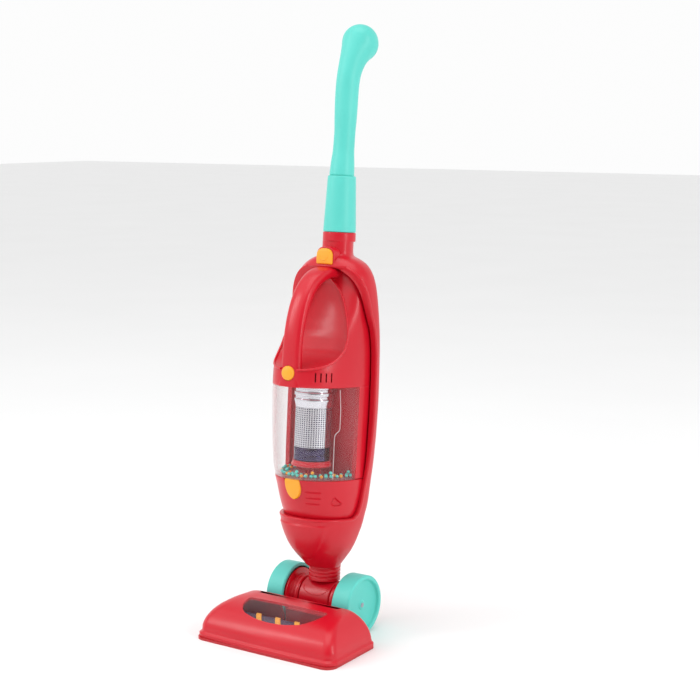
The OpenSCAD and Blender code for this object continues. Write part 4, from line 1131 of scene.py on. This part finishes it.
def handle_shape():
    """The neck of the grip, leaning back, with a round end that the ball covers."""
    levels = np.linspace(450.2, 592, 90)
    y, radius = curve(GRIP, levels).T
    centre = np.column_stack([np.zeros_like(y), y, levels])
    tangent = np.gradient(centre, axis=0)
    tangent /= np.linalg.norm(tangent, axis=1)[:, None]
    ang = np.linspace(0, 2 * math.pi, 72, endpoint=False)

    def circle(t):
        return np.cos(ang)[:, None] * np.array(ACROSS) + np.sin(ang)[:, None] * np.cross(t, ACROSS)

    rings = [p + r * circle(t) for p, r, t in zip(centre, radius, tangent)]
    end, r, t = centre[-1], radius[-1], tangent[-1]
    for a in np.linspace(0.08, math.pi / 2 - 0.02, 22):
        rings.append(end + t * r * math.sin(a) + r * math.cos(a) * circle(t))
    return tube(np.array(rings))


grip = mesh_object("curved_handle", handle_shape())
BALL_CENTRE, BALL_R = (0, 23, 591), 19.5
ball_part = mesh_object("ball_part", ball(BALL_CENTRE, BALL_R, 48, 72))
union = grip.modifiers.new("ball", "BOOLEAN")
union.operation, union.solver, union.object = "UNION", "MANIFOLD", ball_part
apply_modifiers(grip)
bpy.data.objects.remove(ball_part)
remesh = grip.modifiers.new("remesh", "REMESH")
remesh.mode, remesh.voxel_size = "VOXEL", 0.0011
soften = grip.modifiers.new("soften", "SMOOTH")
soften.factor, soften.iterations = 0.5, 14
apply_modifiers(grip)
settle(grip, TURQUOISE, "upright", ("handle_upper",), 60)

# ---------- latch ----------
LATCH_Y, LATCH_Z = -26.0, 366.6


def latch_outline(grow=0.0):
    w, h = 9.8 + grow, 8.3 + grow
    top = [(w * signed_power(math.cos(a), 0.8), -0.5 + (h + 0.5) * signed_power(math.sin(a), 0.8))
           for a in np.linspace(0.0, math.pi, 28)]
    return fillet([(-w, -h), (w, -h)] + [tuple(p) for p in top[1:-1]], 1.4, True, 3)


def on_latch(points):
    p = np.asarray(points, float)
    return np.column_stack([p[:, 0], LATCH_Y - p[:, 2], LATCH_Z + p[:, 1]])


boss = mesh_object("latch_housing", prism(latch_outline(1.9), -14, -1.6, 2.2, on_latch))
carve(boss, [prism(latch_outline(0.35), -11, 4, 0, on_latch)])
settle(boss, RED, "upright")
ARC_R, PAD_FACE = 4.6, 0.9    # the raised arc on the pad, and how far the pad stands out
arc_line = [(ARC_R * math.cos(a), LATCH_Y - PAD_FACE, LATCH_Z + 0.4 + ARC_R * math.sin(a))
            for a in np.linspace(math.radians(190), math.radians(350), 30)]
piece("latch_pad", join(prism(latch_outline(), -8, PAD_FACE, 1.6, on_latch), swept(arc_line, 0.5, 8)),
      YELLOW, "latch", ("latch_button",))


# ---------- springs ----------
def coil(base, axis, length, radius, wire, turns):
    u, v, a = basis(axis)
    path = []
    for t in np.linspace(0, 1, int(turns * 20)):
        ang = 2 * math.pi * turns * t
        out = radius * (math.cos(ang) * u + math.sin(ang) * v)
        path.append(np.asarray(base) + a * (wire + (length - 2 * wire) * t) + out)
    return swept(path, wire, 8)


WIRE_R = 0.45
# (piece, node, body, y and z of its front end, length, radius, turns, joint, travel)
SPRINGS = (("latch_coil", "latch_spring", "upright", -17.8, LATCH_Z, 11.2, 2.6, 5.0, "latch_press", 2.5),
           ("power_coil", "power_spring", "handheld", -73.3, BUTTON_Z, 4.6, 3.5, 3.5, "power_press", 2.0),
           ("release_coil", "shield_spring", "handheld", SHIELD_Y + 7.2, SHIELD_Z, 5.9, 3.0, 3.5,
            "shield_press", 2.0))
for name, node, body, y, z, length, radius, turns, joint, travel in SPRINGS:
    spring = piece(name, coil((0, y, z), (0, 1, 0), length, radius, WIRE_R, turns), STEEL, body, (node,), sharp=60)
    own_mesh(spring)

# ---------- CAD nodes that keep their shape ----------
KEPT = {
    # The base plate takes the darker copy of the red, painted shade.
    "base_plate": RED_PAINTED_SHADE, "axle_bushes": NYLON, "brush_bearings": NYLON, "head_screws": STEEL,
    "wheel_axle": STEEL, "brush_shaft": STEEL, "cradle_screws": STEEL, "handle_plug": TURQUOISE,
    "batteries": BATTERY, "battery_contacts": STEEL, "circuit_board": BOARD, "speaker": BLACK,
    "power_switch": BLACK, "motor": STEEL, "unit_screws": STEEL, "fan": RED,
}
for node, material in KEPT.items():
    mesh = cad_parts[node].data
    mesh.materials.clear()
    mesh.materials.append(material)

# ---------- floor, lights and camera ----------
floor_mat, nodes, links, shader = new_material("studio_floor")
coords = nodes.new("ShaderNodeTexCoord").outputs["Object"]
tone = mixed(nodes, links, noise(nodes, links, coords, 3, 2), (0.93, 0.93, 0.93, 1), (0.97, 0.97, 0.97, 1))
links.new(tone, shader.inputs["Base Color"])
shader.inputs["Roughness"].default_value = 0.9
FLOOR_HALF = 12    # metres
mesh = bpy.data.meshes.new("floor")
mesh.from_pydata([(x * FLOOR_HALF, y * FLOOR_HALF, 0) for x, y in ((-1, -1), (1, -1), (1, 1), (-1, 1))],
                 [], [(0, 1, 2, 3)])
mesh.materials.append(floor_mat)
add_object("floor", mesh)

world = bpy.data.worlds.new("studio")
bpy.context.scene.world = world
world.use_nodes = True
nodes, links = world.node_tree.nodes, world.node_tree.links
direction = nodes.new("ShaderNodeTexCoord").outputs["Generated"]
height = nodes.new("ShaderNodeSeparateXYZ")
links.new(direction, height.inputs["Vector"])
DARK_SIDE = (0.56, -0.82, 0.1)    # the studio is darker this way, so that glossy edges read
ahead = nodes.new("ShaderNodeVectorMath")
ahead.operation = "DOT_PRODUCT"
ahead.inputs[1].default_value = DARK_SIDE
links.new(direction, ahead.inputs[0])
sky = ramp(nodes, links, height.outputs["Z"], 0.98, 0.6, 0.3, 0.7)
flag = ramp(nodes, links, ahead.outputs["Value"], 1.0, 0.3, 0.72, 0.93)
both = nodes.new("ShaderNodeMath")
both.operation = "MULTIPLY"
links.new(sky, both.inputs[0])
links.new(flag, both.inputs[1])
links.new(both.outputs["Value"], nodes["Background"].inputs["Strength"])
nodes["Background"].inputs["Color"].default_value = (1.0, 1.0, 1.0, 1)


def aim(obj, place, target):
    obj.location = place
    obj.rotation_euler = (Vector(target) - obj.location).to_track_quat("-Z", "Y").to_euler()


def area_light(name, place, target, size, watts):
    light = bpy.data.lights.new(name, "AREA")
    light.shape, light.size, light.size_y, light.energy = "RECTANGLE", size[0], size[1], watts
    aim(add_object(name, light), place, target)


area_light("key", (-1.5, -1.5, 1.5), (0, 0, 0.3), (0.5, 1.3), 11)
area_light("side", (1.9, -0.2, 1.0), (0, 0, 0.3), (0.4, 1.4), 10)
area_light("top", (0.1, -0.3, 2.4), (0, 0, 0.2), (1.6, 1.6), 10)
sun_data = bpy.data.lights.new("sky_panel", "SUN")
sun_data.energy, sun_data.angle = 0.7, math.radians(70)
sun = add_object("sky_panel", sun_data)
sun.rotation_euler = (math.radians(18), math.radians(-14), 0)
bpy.context.scene.view_settings.view_transform = "Standard"

camera_data = bpy.data.cameras.new("camera")
camera_data.lens, camera_data.sensor_width = 80.1, 36.0
CAMERA_PLACE, CAMERA_TARGET = (0.9431, -1.3153, 0.5465), (0.0347, 0, 0.3038)    # metres
camera = add_object("camera", camera_data)
aim(camera, CAMERA_PLACE, CAMERA_TARGET)
bpy.context.scene.camera = camera
